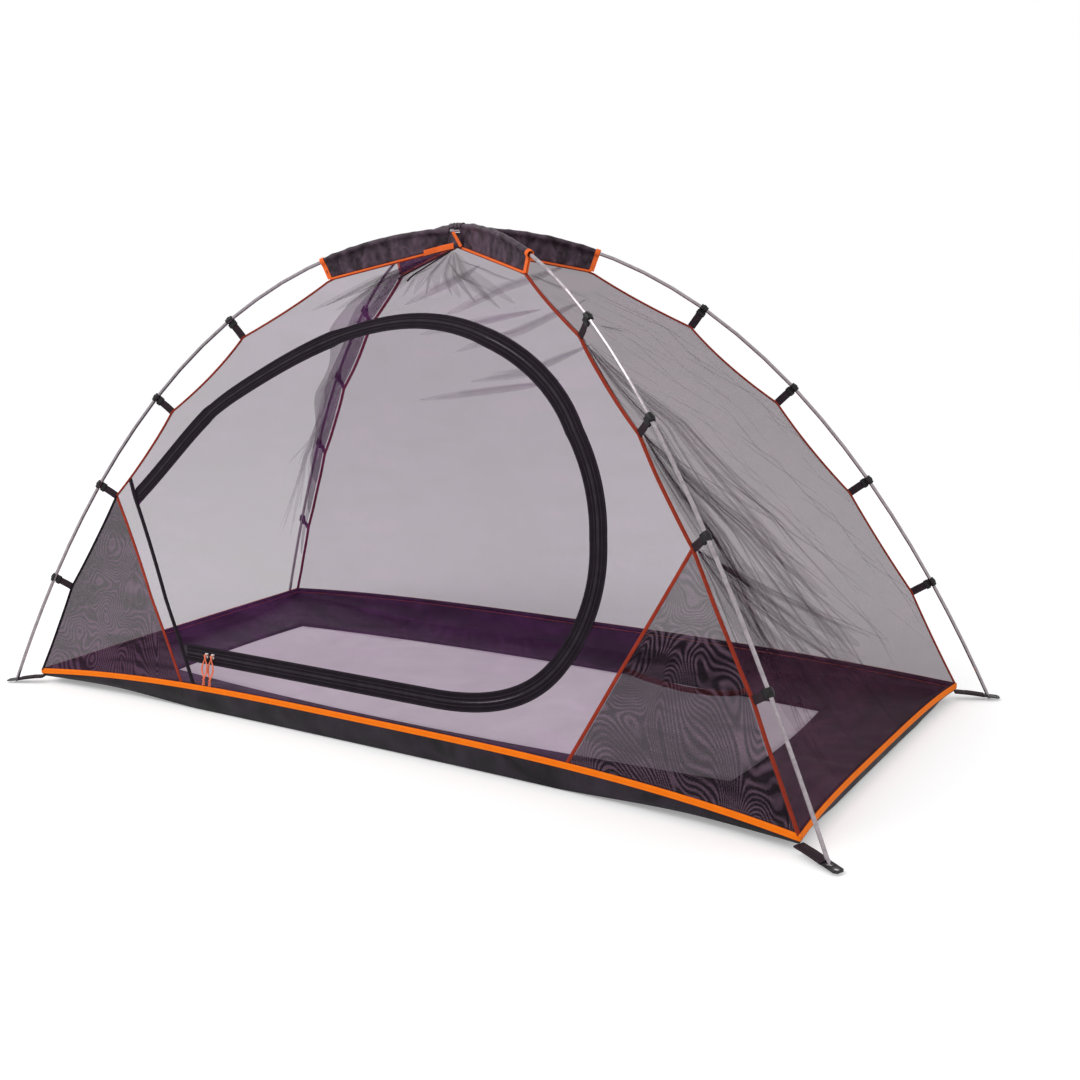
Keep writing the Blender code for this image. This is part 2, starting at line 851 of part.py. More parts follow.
def beside_hinge(point, distance):
    """A flat point moved square to the hinge line, towards the door where the distance is positive."""
    return (point[0] + hinge_direction[1] * distance, point[1] - hinge_direction[0] * distance)


def from_hinge(point):
    """How far a flat point is from the hinge line, positive on the door's side."""
    return (point[0] - hinge_foot[0]) * hinge_direction[1] - (point[1] - hinge_foot[1]) * hinge_direction[0]


def cut_at_hinge(path, distance):
    """The part of a path further than a distance from the hinge line, ended exactly at that distance."""
    kept = []
    for here, there in zip(path, path[1:]):
        low = from_hinge(here) - distance
        high = from_hinge(there) - distance
        if low > 0:
            kept.append(here)
        if (low > 0) != (high > 0):
            share = low / (low - high)
            kept.append((here[0] + (there[0] - here[0]) * share, here[1] + (there[1] - here[1]) * share))
    if from_hinge(path[-1]) > distance:
        kept.append(path[-1])
    return kept


# Front wall, gussets and door net


def gusset_line(side, height):
    """Where the seam between gusset and front wall is at a height."""
    top = gusset_tops[side]
    wall_edge = front.edge(top, side > 0)
    foot_height = hem_corner_height + hem_rise_long
    share = (height - foot_height) / (top - foot_height)
    return side * gusset_foot_along + (wall_edge - side * gusset_foot_along) * share


gusset_tops = {-1: seams["front_left"].strap_heights[1], 1: seams["front_right"].strap_heights[1]}


def gusset_foot(side, shift):
    """The foot of a gusset seam, just above the hem tape."""
    along = side * gusset_foot_along + shift
    return along, hem_height(front, along) + hem_tape_width / 2 + gap


front_base = hem_run(front, -gusset_foot_along + cut_gap, gusset_foot_along - cut_gap, seam_mesh_size, True)
right_up = edge_run(front, gusset_tops[1], seam_top, True)
left_down = edge_run(front, gusset_tops[-1], seam_top, False)[::-1]
right_seam = spread(front_base[-1], right_up[0], seam_mesh_size)[1:-1]
left_seam = spread(left_down[-1], front_base[0], seam_mesh_size)[1:-1]
front_outline = front_base + right_seam + right_up + left_down + left_seam
outer_zip = offset_path(door_path, tape_edge)
hinge_outer = [beside_hinge(hinge_head, -hinge_half), beside_hinge(hinge_foot, -hinge_half)]
doorway = outer_zip + spread(hinge_outer[0], hinge_outer[1], seam_mesh_size)
cloth("front_net_wall", front, front_outline, [doorway], net_colour)

inner_zip = cut_at_hinge(offset_path(door_path, -tape_edge), hinge_half)
door_outline = inner_zip + spread(inner_zip[-1], inner_zip[0], seam_mesh_size)[1:-1]
door_net = cloth("door_net_panel", front, door_outline, [], net_colour)

for side, side_name in ((-1, "left"), (1, "right")):
    high_side = side > 0
    foot = corner_foot(front, high_side)
    tip = gusset_tops[side] - gusset_tip_cut
    rise = edge_run(front, foot[1], tip, high_side)
    inner_foot = gusset_foot(side, side * cut_gap)
    inner_tip = (gusset_line(side, tip) + side * cut_gap * 2, tip)
    base = hem_run(front, inner_foot[0], foot[0], seam_mesh_size, True)
    outline = base + rise[1:] + spread(inner_tip, base[0], seam_mesh_size)[:-1]
    if side < 0:
        outline = outline[::-1]
    cloth(f"{side_name}_gusset_net", front, outline, [], dark_net_colour)

# Seam tapes up the four corners


def seam_tape(name, seam):
    """Round binding over the corner where two walls meet, from the hem to just short of the peak."""
    low = hem_corner_height + hem_tape_width / 2 + gap + seam_tape_diameter / 3
    inner = [stop for stop in seam.stops if low + hem_tape_thickness < stop < seam_top - hem_tape_thickness]
    points = [seam.point(height) for height in [low] + inner + [seam_top]]
    mesh = tube_curve(name, points, seam_tape_diameter, resolution=1)
    place(name, mesh, red_colour, smooth_angle=70)


for seam_name, seam in seams.items():
    seam_tape(f"{seam_name}_seam_tape", seam)

# Bands that follow a line on the cloth


def band(name, frames, section, colour, closed=False, roughness=soft_roughness):
    """A strip with a constant section, through frames of (point, sideways, outward)."""
    points = []
    for centre, sideways, outward in frames:
        for across, out in section:
            points.append(centre + sideways * across + outward * out)
    count = len(frames)
    width = len(section)
    faces = []
    for step in range(count if closed else count - 1):
        here = step * width
        there = (step + 1) % count * width
        for side in range(width):
            after = (side + 1) % width
            faces.append((here + side, here + after, there + after, there + side))
    if not closed:
        faces.append(tuple(range(width)))
        faces.append(tuple(range((count - 1) * width, count * width)))
    mesh = mesh_from(name, points, faces)
    return place(name, mesh, colour, roughness, smooth_angle=40)


def frames_on_wall(wall, path):
    """Frames along a flat path on a wall: the point, its right-hand side and the way out."""
    points = [wall.point(*place_at) for place_at in path]
    frames = []
    for index, point in enumerate(points):
        before = points[max(index - 1, 0)]
        after = points[min(index + 1, len(points) - 1)]
        run = (after - before).normalized()
        outward = wall.normal(*path[index])
        sideways = run.cross(outward).normalized()
        outward = sideways.cross(run).normalized()
        frames.append((point, sideways, outward))
    return frames


half_tape = tape_thickness / 2
zip_frames = frames_on_wall(front, zip_path)
wall_section = [
    (gap / 2, -half_tape),
    (zip_tape_width, -half_tape),
    (zip_tape_width, half_tape),
    (zip_coil_width, half_tape),
    (zip_coil_width, zip_coil_height),
    (gap / 2, zip_coil_height),
]
door_section = [(-across, out) for across, out in wall_section]
band("wall_zip_tape", zip_frames, wall_section, black_colour)
door_zip = band("door_zip_tape", zip_frames, door_section, black_colour)

hinge_path = spread(hinge_foot, hinge_head, hinge_tape_step)
hinge_frames = frames_on_wall(front, hinge_path)
half_hinge = hinge_tape_width / 2
hinge_section = [
    (-half_hinge, -half_tape),
    (half_hinge, -half_tape),
    (half_hinge, half_tape),
    (-half_hinge, half_tape),
]
band("door_hinge_tape", hinge_frames, hinge_section, black_colour)

# The line that the door turns about, just in front of its hinge tape

hinge_low = front.point(*hinge_foot)
hinge_axis = (front.point(*hinge_head) - hinge_low).normalized()
hinge_across = front.normal(*hinge_foot).cross(hinge_axis).normalized()
hinge_out = hinge_axis.cross(hinge_across).normalized()
hinge_turn = Matrix((hinge_across, hinge_out, hinge_axis)).transposed().to_4x4()
door_hinge = bpy.data.objects.new("door_hinge", None)
tent.objects.link(door_hinge)
door_hinge.matrix_world = Matrix.Translation(hinge_low + hinge_out * hinge_axis_proud) @ hinge_turn


def hang_on_hinge(node):
    """Parent a piece of the door to its hinge without moving it."""
    node.parent = door_hinge
    node.matrix_parent_inverse = door_hinge.matrix_basis.inverted()


hang_on_hinge(door_net)
hang_on_hinge(door_zip)

# Hem tape round the tent


def wall_places(wall, count):
    """Places along a wall for the hem and tub, without its far corner."""
    half = hem_half_long if wall.axis == 0 else hem_half_end
    return [(-half + 2 * half * step / count) for step in range(count)]


perimeter = []
for place_at in wall_places(front, long_steps):
    perimeter.append((front, place_at))
for place_at in wall_places(right_end, end_steps):
    perimeter.append((right_end, place_at))
for place_at in wall_places(back, long_steps):
    perimeter.append((back, -place_at))
for place_at in wall_places(left_end, end_steps):
    perimeter.append((left_end, -place_at))


def hem_point(wall, along):
    """A point of the hem's middle line."""
    return wall.point(along, hem_height(wall, along))


hem_points = [hem_point(wall, along) for wall, along in perimeter]
hem_frames = []
for index, centre in enumerate(hem_points):
    run = (hem_points[(index + 1) % len(hem_points)] - hem_points[index - 1]).normalized()
    upright = Vector((0.0, 0.0, 1.0))
    outward = run.cross(upright).normalized()
    wall, along = perimeter[index]
    corner = abs(abs(along) - (hem_half_long if wall.axis == 0 else hem_half_end)) < gap
    hem_frames.append((centre, upright, outward * (math.sqrt(2) if corner else 1.0)))
half_hem = hem_tape_width / 2
hem_out = hem_tape_thickness / 2
hem_section = [(-half_hem, -hem_out), (half_hem, -hem_out), (half_hem, hem_out), (-half_hem, hem_out)]
band("hem_tape", hem_frames, hem_section, orange_colour, closed=True)

# Tub: from the hem down to the ground line, then in to the light panel


def floor_point(along_ratio, across_ratio):
    """A point of the light panel's edge, from its place along and across as shares from -1 to 1."""
    bow_long = floor_bow_long * (1 - along_ratio ** 2) * (1 if abs(across_ratio) == 1 else 0)
    bow_end = floor_bow_end * (1 - across_ratio ** 2) * (1 if abs(along_ratio) == 1 else 0)
    x = along_ratio * floor_length / 2 + math.copysign(bow_end, along_ratio)
    y = across_ratio * floor_width / 2 + math.copysign(bow_long, across_ratio)
    return Vector((x, y, 0.0))


def tub_station(wall, along):
    """The tub's section at one place: the floor edge, two ground points, the wall's foot, middle and top."""
    long_side = wall.axis == 0
    half = hem_half_long if long_side else hem_half_end
    share = along / half
    low_edge = hem_height(wall, along) - hem_tape_width / 2 - gap
    top = wall.point(along, hem_height(wall, along))
    top.z = low_edge - tub_thickness * abs(share) ** 8
    start = tub_lift_start_long if long_side else tub_lift_start_end
    end = tub_lift_end_long if long_side else tub_lift_end_end
    lift = tub_corner_lift * smooth_step((abs(along) - start) / (end - start))
    inset = tub_foot_inset_long if long_side else tub_foot_inset_end
    blend = abs(share) ** 4
    inset = inset + (tub_corner_foot_inset - inset) * blend
    inward = Vector((-top.x / hem_half_long, -top.y / hem_half_end, 0.0))
    square = Vector((0.0, 0.0, 0.0))
    square[1 - wall.axis] = -math.copysign(1.0, top[1 - wall.axis])
    towards = (square * (1 - blend) + inward.normalized() * blend).normalized()
    foot = top + towards * inset
    foot.z = lift
    middle = (top + foot) / 2 - towards * inset * tub_belly_share
    along_ratio = share if long_side else math.copysign(1.0, top.x)
    across_ratio = math.copysign(1.0, top.y) if long_side else share
    panel = floor_point(along_ratio, across_ratio)
    run = (panel - Vector((foot.x, foot.y, 0.0))).normalized()
    panel = panel - run * gap
    near = foot + (panel - foot) * tub_near_share
    near.z = lift * tub_near_lift_share
    return [panel, near, foot, middle, top]


def tub_body():
    """The black tub as one open sheet with its thickness on the inside."""
    rows = [tub_station(wall, along) for wall, along in perimeter]
    width = len(rows[0])
    points = [point for row in rows for point in row]
    faces = []
    for index in range(len(rows)):
        here = index * width
        there = (index + 1) % len(rows) * width
        for side in range(width - 1):
            faces.append((here + side, there + side, there + side + 1, here + side + 1))
    mesh = bpy.data.meshes.new("tub_wall")
    mesh.from_pydata([tuple(point) for point in points], [], faces)
    node = place("tub_wall", mesh, black_colour, sheen_roughness, smooth_angle=35)
    shell = node.modifiers.new("thickness", "SOLIDIFY")
    shell.thickness = tub_thickness
    shell.offset = -1.0
    shell.use_even_offset = False
    return node


tub_body()


def floor_outline():
    """The light panel's outline, as points round its four sides."""
    outline = []
    for wall, along in perimeter:
        half = hem_half_long if wall.axis == 0 else hem_half_end
        share = along / half
        top = wall.point(along, hem_height(wall, along))
        if wall.axis == 0:
            point = floor_point(share, math.copysign(1.0, top.y))
        else:
            point = floor_point(math.copysign(1.0, top.x), share)
        outline.append((point.x, point.y))
    return outline


floor_mesh = flat_outline("floor_panel", [floor_outline()], floor_thickness)
floor_node = place("floor_panel", floor_mesh, floor_colour, sheen_roughness)
floor_node.location = (0.0, 0.0, floor_thickness / 2)

# Sleeves that hold the crown on the poles


def sleeve_section(radius, drop):
    """Half widths and drops of a cloth folded over the pole, from one lower edge to the other."""
    points = []
    leg = sleeve_fabric / 2 + gap
    points.append((-leg, drop))
    points.append((-leg, radius * sleeve_leg_share))
    for turn in sleeve_fold_turns:
        angle = math.radians(turn)
        points.append((radius * math.sin(angle), -radius * math.cos(angle)))
    points.append((leg, radius * sleeve_leg_share))
    points.append((leg, drop))
    return points


def sleeve(name, arch, from_end, seam):
    """One sleeve, from its bound end to just short of the crossing."""
    crossing = arch.length / 2
    distances = arch.between(sleeve_start_distance, crossing - sleeve_end_from_crossing)
    rows = []
    for distance in distances:
        at = arch.length - distance if from_end else distance
        centre = arch.point(at)
        inward = arch.inward(at)
        reach = seam_gap_at(arch, at, seam)
        radius = pole_radius + sleeve_slack + sleeve_fabric / 2
        rows.append([centre + arch.binormal * a + inward * d for a, d in sleeve_section(radius, reach)])
    points = [point for row in rows for point in row]
    width = len(rows[0])
    faces = []
    for index in range(len(rows) - 1):
        here = index * width
        there = here + width
        for side in range(width - 1):
            faces.append((here + side, there + side, there + side + 1, here + side + 1))
    mesh = mesh_from(name, points, faces)
    node = place(name, mesh, charcoal_colour, smooth_angle=60)
    shell = node.modifiers.new("thickness", "SOLIDIFY")
    shell.thickness = sleeve_fabric
    shell.offset = 0.0
    return node


def seam_gap_at(arch, at, seam):
    """How far in from the pole the sleeve reaches before it meets the seam tape."""
    centre = arch.point(at)
    inward = arch.inward(at)
    low = 0.0
    high = sleeve_drop * 2
    for _ in range(40):
        middle = (low + high) / 2
        probe = centre + inward * middle
        radius = probe.to_2d().length
        side = 1 if probe.to_2d().dot(seam.direction.to_2d()) > 0 else -1
        outside = side < 0 or radius > seam.radius(min(probe.z, net_peak_height))
        above = probe.z > net_peak_height
        if above or (outside and probe.z > net_peak_height - radius):
            low = middle
        else:
            high = middle
    return low - (seam_tape_diameter / 2 + gap * 2)


sleeve("front_left_sleeve", lower_arch, False, seams["front_left"])
sleeve("back_right_sleeve", lower_arch, True, seams["back_right"])
sleeve("back_left_sleeve", upper_arch, False, seams["back_left"])
sleeve("front_right_sleeve", upper_arch, True, seams["front_right"])

# Corner tabs


def corner_tab(name, arch, seam):
    """Webbing from the tub's corner to a strip with two holes, for the pole's pin and a ground peg."""
    foot = arch.line[:clips_per_leg]
    pin_radius = abs(float(np.interp(tab_foot_height, foot[:, 1], foot[:, 0])))
    start = hem_corner_radius + tab_start_gap
    slope = math.atan2(tab_corner_height - tab_foot_height, pin_radius - start)
    near = -(pin_radius - start) / math.cos(slope)
    far = tab_end_radius - pin_radius
    half = tab_width / 2
    rounding = tab_corner_round
    outline = [(near, -half), (far - rounding, -half), (far, -half + rounding)]
    outline.extend([(far, half - rounding), (far - rounding, half), (near, half)])
    pin_hole = circle((0.0, 0.0), tab_pin_hole / 2, hole_sides)
    peg_hole = circle((tab_hole_spacing, 0.0), tab_peg_hole / 2, hole_sides)
    mesh = flat_outline(name, [outline, pin_hole, peg_hole], tab_thickness)
    node = place(name, mesh, strap_colour)
    along = (seam.direction * math.cos(slope) - Vector((0.0, 0.0, math.sin(slope)))).normalized()
    side = Vector((0.0, 0.0, 1.0)).cross(along).normalized()
    up = along.cross(side).normalized()
    node.rotation_mode = "QUATERNION"
    node.rotation_quaternion = Matrix((along, side, up)).transposed().to_quaternion()
    node.location = seam.direction * pin_radius + Vector((0.0, 0.0, tab_foot_height))
    return node


for seam_name, seam in seams.items():
    corner_tab(f"{seam_name}_tab", seam.arch, seam)

# Inner pocket behind the right gusset


def pocket():
    """A net pocket sewn to the right gusset, open and sagging along its top edge."""
    points = []
    for row in range(pocket_rows):
        rise = row / (pocket_rows - 1)
        for column in range(pocket_columns):
            share = column / (pocket_columns - 1)
            belly = math.sin(math.pi * share)
            low_along = gusset_foot_along + pocket_side_inset
            high_along = corner_foot(front, True)[0] - pocket_side_inset
            top = pocket_height - pocket_droop * belly
            foot = hem_corner_height + hem_rise_long
            along_foot = low_along + (high_along - low_along) * share
            foot_height = hem_height(front, along_foot) + pocket_foot_rise
            height = foot_height + (top - foot_height) * rise
            left = gusset_line(1, height) + pocket_side_inset
            right = front.edge(height, True) - pocket_side_inset
            along = left + (right - left) * share
            depth = pocket_clearance + pocket_belly * belly * math.sin(rise * math.pi / 2)
            base = front.point(along, height)
            points.append(base - front.normal(along, height) * depth)
    faces = []
    for row in range(pocket_rows - 1):
        for column in range(pocket_columns - 1):
            here = row * pocket_columns + column
            faces.append((here, here + 1, here + 1 + pocket_columns, here + pocket_columns))
    mesh = mesh_from("corner_pocket", points, faces)
    node = place("corner_pocket", mesh, dark_net_colour, smooth_angle=40)
    shell = node.modifiers.new("thickness", "SOLIDIFY")
    shell.thickness = net_thickness
    shell.offset = 0.0


pocket()

# Zip sliders and their cord pulls


def joined(base, others):
    """Join closed meshes into one body."""
    holder = bpy.data.objects.new("joined_base", base)
    cutters.objects.link(holder)
    tools = []
    for index, mesh in enumerate(others):
        tool = bpy.data.objects.new(f"joined_tool_{index}", mesh)
        tool.hide_render = True
        tool.display_type = "WIRE"
        cutters.objects.link(tool)
        tools.append(tool)
        join = holder.modifiers.new(f"join_{index}", "BOOLEAN")
        join.operation = "UNION"
        join.solver = "EXACT"
        join.object = tool
    bpy.context.view_layer.update()
    seen = holder.evaluated_get(bpy.context.evaluated_depsgraph_get())
    mesh = bpy.data.meshes.new_from_object(seen)
    for tool in tools:
        bpy.data.objects.remove(tool, do_unlink=True)
    bpy.data.objects.remove(holder, do_unlink=True)
    return mesh


rail_inside = zip_coil_width + slide_gap
plate_low = zip_coil_height + slide_gap
plate_high = plate_low + slider_plate
rail_low = tape_thickness / 2 + slide_gap
bar_low = plate_high + pull_cord_diameter + slide_gap
bar_middle = bar_low + bail_bar / 2


run_start = front.point(left_slider_along, zip_run_height)
run_far = front.point(zip_run_end - slider_length * 3, zip_run_height)
run_direction = (run_far - run_start).normalized()


def slider_matrix(along):
    """Turns a slider's own axes (right, up, out) into the tent's, with all sliders square to one line."""
    point = front.point(along, zip_run_height)
    out = front.normal(left_slider_along, zip_run_height)
    up = out.cross(run_direction).normalized()
    if up.z < 0:
        up = -up
    out = run_direction.cross(up).normalized()
    turn = Matrix((run_direction, up, out)).transposed().to_4x4()
    share = (point - run_start).dot(run_direction)
    return Matrix.Translation(run_start + run_direction * share) @ turn


def slider_mesh():
    """A channel over both coils with a bail on its front."""
    half = slider_width / 2
    shoulder = plate_low + slider_plate / 3
    section = [
        (-half, rail_low),
        (-half + slider_rail_wall, rail_low),
        (-rail_inside, plate_low),
        (rail_inside, plate_low),
        (half - slider_rail_wall, rail_low),
        (half, rail_low),
        (half, shoulder),
        (half - slider_plate, plate_high),
        (-half + slider_plate, plate_high),
        (-half, shoulder),
    ]
    body = flat_outline("slider_body", [section], slider_length)
    body.transform(Matrix(((0, 0, 1, 0), (1, 0, 0, 0), (0, 1, 0, 0), (0, 0, 0, 1))))
    half_bail = bail_length / 2
    sunk = slider_plate / 3
    window = [
        (-half_bail + bail_post, plate_high - sunk / 2),
        (half_bail - bail_post, plate_high - sunk / 2),
        (half_bail - bail_post, bar_low),
        (-half_bail + bail_post, bar_low),
    ]
    outside = [
        (-half_bail, plate_high - sunk),
        (half_bail, plate_high - sunk),
        (half_bail, bar_low + bail_bar - bail_post),
        (half_bail - bail_post, bar_low + bail_bar),
        (-half_bail + bail_post, bar_low + bail_bar),
        (-half_bail, bar_low + bail_bar - bail_post),
    ]
    bail = flat_outline("slider_bail", [outside, window], bail_width)
    bail.transform(Matrix(((1, 0, 0, 0), (0, 0, -1, 0), (0, 1, 0, 0), (0, 0, 0, 1))))
    return joined(body, [bail])


def pull_mesh():
    """A cord looped round the bail's bar, down to a knot and a short tail."""
    cord = pull_cord_diameter / 2
    loop = bail_bar / 2 + slide_gap / 2 + cord
    knot_centre = (0.0, -pull_length, 0.0)
    path = [knot_centre]
    for share in pull_bend_shares:
        path.append((0.0, -pull_length * (1 - share), -loop * min(share * 2, 1.0)))
    for step in range(pull_loop_steps + 1):
        turn = math.pi * step / pull_loop_steps
        path.append((0.0, loop * math.sin(turn), -loop * math.cos(turn)))
    for share in pull_bend_shares[::-1]:
        path.append((0.0, -pull_length * (1 - share), loop * min(share * 2, 1.0)))
    path.append(knot_centre)
    shaped = [Vector(point) for point in path]
    shaped[0] = shaped[0] + Vector((0.0, 0.0, -cord * 0.9))
    shaped[-1] = shaped[-1] + Vector((0.0, 0.0, cord * 0.9))
    strand = tube_curve("pull_strand", shaped, pull_cord_diameter, resolution=1)
    ball = bpy.data.meshes.new("pull_knot")
    work = bmesh.new()
    bmesh.ops.create_uvsphere(work, u_segments=10, v_segments=7, radius=knot_diameter / 2)
    bmesh.ops.translate(work, verts=work.verts, vec=knot_centre)
    work.to_mesh(ball)
    work.free()
    tail_end = (pull_cord_diameter, -pull_length - knot_diameter / 2 - tail_length, 0.0)
    tail = tube_curve("pull_tail", [knot_centre, tail_end], pull_cord_diameter, resolution=1)
    return joined(ball, [strand, tail])


slider_shape = slider_mesh()
pull_shape = pull_mesh()
for side_name, along in (("left", left_slider_along), ("right", right_slider_along)):
    carrier = slider_matrix(along)
    slider = place(f"{side_name}_zip_slider", slider_shape.copy(), silver_colour, metal_roughness, 1.0)
    slider.matrix_basis = carrier
    hang_on_hinge(slider)
    pull = place(f"{side_name}_zip_pull", pull_shape.copy(), orange_colour, smooth_angle=60)
    pull.parent = slider
    pull.location = (0.0, 0.0, bar_middle)
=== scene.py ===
"""Mosquito net tent for one person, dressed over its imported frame.

Axes: X runs along the sleeper, the door is on the side at -Y and Z is up. All sizes are in metres.
"""
import logging
import math
from abc import ABC, abstractmethod
from dataclasses import dataclass, field
from enum import Enum
from typing import Callable, Iterable, Optional, Sequence

import bmesh
import bpy
import numpy as np
from mathutils import Matrix, Vector
from mathutils.geometry import delaunay_2d_cdt


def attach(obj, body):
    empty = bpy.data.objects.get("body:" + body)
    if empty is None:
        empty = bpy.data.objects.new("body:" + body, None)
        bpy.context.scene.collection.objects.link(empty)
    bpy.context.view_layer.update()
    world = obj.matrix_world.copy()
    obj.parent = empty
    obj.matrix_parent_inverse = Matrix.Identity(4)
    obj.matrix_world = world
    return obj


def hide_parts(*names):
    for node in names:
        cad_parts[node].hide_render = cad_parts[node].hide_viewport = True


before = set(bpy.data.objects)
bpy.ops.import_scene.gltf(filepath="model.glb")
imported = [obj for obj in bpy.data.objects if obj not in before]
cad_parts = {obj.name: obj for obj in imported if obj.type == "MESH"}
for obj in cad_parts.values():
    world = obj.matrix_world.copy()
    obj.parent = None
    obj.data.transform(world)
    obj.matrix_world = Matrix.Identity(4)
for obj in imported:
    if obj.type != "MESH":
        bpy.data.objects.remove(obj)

UP = np.array([0.0, 0.0, 1.0])
CLOTH = 0.0008
LOG = logging.getLogger("mosquito_net_tent")
Flat = tuple[float, float]
Colour = tuple[float, float, float]
Array = np.ndarray
Object = bpy.types.Object
Material = bpy.types.Material
Socket = bpy.types.NodeSocket


class Body(str, Enum):
    """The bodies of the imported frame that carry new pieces."""

    TENT = "tent"
    DOOR = "door"
    LEFT_PULL = "left_pull"
    RIGHT_PULL = "right_pull"


class Corner(str, Enum):
    """The four corner seams."""

    FRONT_LEFT = "front_left"
    BACK_RIGHT = "back_right"
    BACK_LEFT = "back_left"
    FRONT_RIGHT = "front_right"


def smooth_step(value: float) -> float:
    """Rise smoothly from 0 to 1 as the value goes from 0 to 1."""
    held = min(max(value, 0.0), 1.0)
    return held * held * (3 - 2 * held)


def unit(vectors: Array) -> Array:
    """Scale each row, or one vector, to a length of 1."""
    return vectors / np.maximum(np.linalg.norm(vectors, axis=-1, keepdims=True), 1e-12)


def runs_along(places: Sequence[Sequence[float]]) -> Array:
    """How far each point lies along a line of points."""
    steps = np.diff(np.asarray(places, dtype=float), axis=0)
    return np.concatenate([[0.0], np.cumsum(np.linalg.norm(steps, axis=1))])


def ripple(along: Array, across: Array, seed: float) -> Array:
    """A repeatable, gently uneven wave.

    Args:
        along: places along the first direction, in radians.
        across: places along the second direction, in radians.
        seed: shifts the wave, so that no two pieces crease alike.

    Returns:
        Values of about -1 to 1.
    """
    first = np.sin(along + 1.7 * np.sin(0.61 * across + seed) + seed * 2.3)
    second = np.sin(1.83 * along - 1.1 * across + seed * 5.1)
    third = np.sin(2.71 * across + 0.9 * np.sin(1.3 * along - seed))
    return (first + 0.6 * second + 0.4 * third) / 2.0


# Geometry of the frame, by the same formulas as the solids


@dataclass
class Arch:
    """The centre line of one pole, in the upright plane through two opposite feet."""

    side: int
    lean: float
    rise: float
    crown: float
    height: float
    clip_distances: tuple[float, ...]
    foot_spread_x: float = 2.200
    foot_spread_y: float = 1.010
    clip_seat: float = 0.0220
    pole_step: float = 0.078
    heading: Array = field(init=False)
    binormal: Array = field(init=False)
    line: Array = field(init=False)
    distances: Array = field(init=False)
    length: float = field(init=False)
    clips: list[float] = field(init=False)

    def __post_init__(self) -> None:
        """Lay out the line and the seats of the clips."""
        half_diagonal = math.hypot(self.foot_spread_x, self.foot_spread_y) / 2
        turn = math.atan2(self.foot_spread_y, self.foot_spread_x)
        self.heading = np.array([math.cos(turn), self.side * math.sin(turn), 0.0])
        self.binormal = np.array([-self.side * math.sin(turn), math.cos(turn), 0.0])
        steps = np.linspace(0.0, 1.0, 201)[:, None]
        corners = [np.array(c) for c in (
            (half_diagonal, 0.0), (half_diagonal - self.lean, self.rise),
            (self.crown, self.height), (0.0, self.height))]
        half = (1 - steps) ** 3 * corners[0] + 3 * (1 - steps) ** 2 * steps * corners[1]
        half = half + 3 * (1 - steps) * steps ** 2 * corners[2] + steps ** 3 * corners[3]
        smooth = np.vstack([half * np.array([-1.0, 1.0]), half[::-1][1:]])
        runs = runs_along(smooth)
        seats = self.clip_distances
        knots = self.knots(float(runs[-1]), seats)
        self.line = np.array([[np.interp(knot, runs, smooth[:, axis]) for axis in (0, 1)] for knot in knots])
        self.distances = runs_along(self.line)
        self.length = float(self.distances[-1])
        starts = [knots.index(seat - self.clip_seat / 2) for seat in seats]
        self.clips = [float(self.distances[at] + self.distances[at + 1]) / 2 for at in starts]

    def knots(self, length: float, seats: Sequence[float]) -> list[float]:
        """Distances at which the line turns, with one straight seat under each clip.

        Args:
            length: the pole's length.
            seats: the middles of the seats, from the foot.

        Returns:
            Distances from the left foot.
        """
        stops = [0.0]
        for seat in seats:
            stops.extend((seat - self.clip_seat / 2, seat + self.clip_seat / 2))
        stops.append(length / 2)
        half = [0.0]
        for low, high in zip(stops, stops[1:]):
            count = max(1, int(round((high - low) / self.pole_step)))
            half.extend(low + (high - low) * step / count for step in range(1, count))
            half.append(high)
        return half + [length - knot for knot in half[::-1][1:]]

    def flat(self, distance: float) -> Flat:
        """Radius and height at a distance along the pole from its left foot."""
        radius = float(np.interp(distance, self.distances, self.line[:, 0]))
        return radius, float(np.interp(distance, self.distances, self.line[:, 1]))

    def point(self, distance: float) -> Array:
        """The place on the centre line at a distance from the left foot."""
        radius, height = self.flat(distance)
        return self.heading * radius + np.array([0.0, 0.0, height])

    def tangent(self, distance: float, reach: float = 0.0011) -> Array:
        """The direction of the pole, measured over a short reach."""
        low, high = max(distance - reach, 0.0), min(distance + reach, self.length)
        return unit(self.point(high) - self.point(low))

    def inward(self, distance: float, reach: float = 0.0011) -> Array:
        """The direction from the pole to the net, square to the pole in the arch's plane.

        Args:
            distance: how far along the pole from its left foot.
            reach: how far to each side the pole is measured.

        Returns:
            A vector with a length of 1.
        """
        crown = np.cross(self.binormal, self.heading)
        turn = 1.0 if crown[2] > 0 else -1.0
        return unit(np.cross(self.binormal, self.tangent(distance, reach))) * -turn


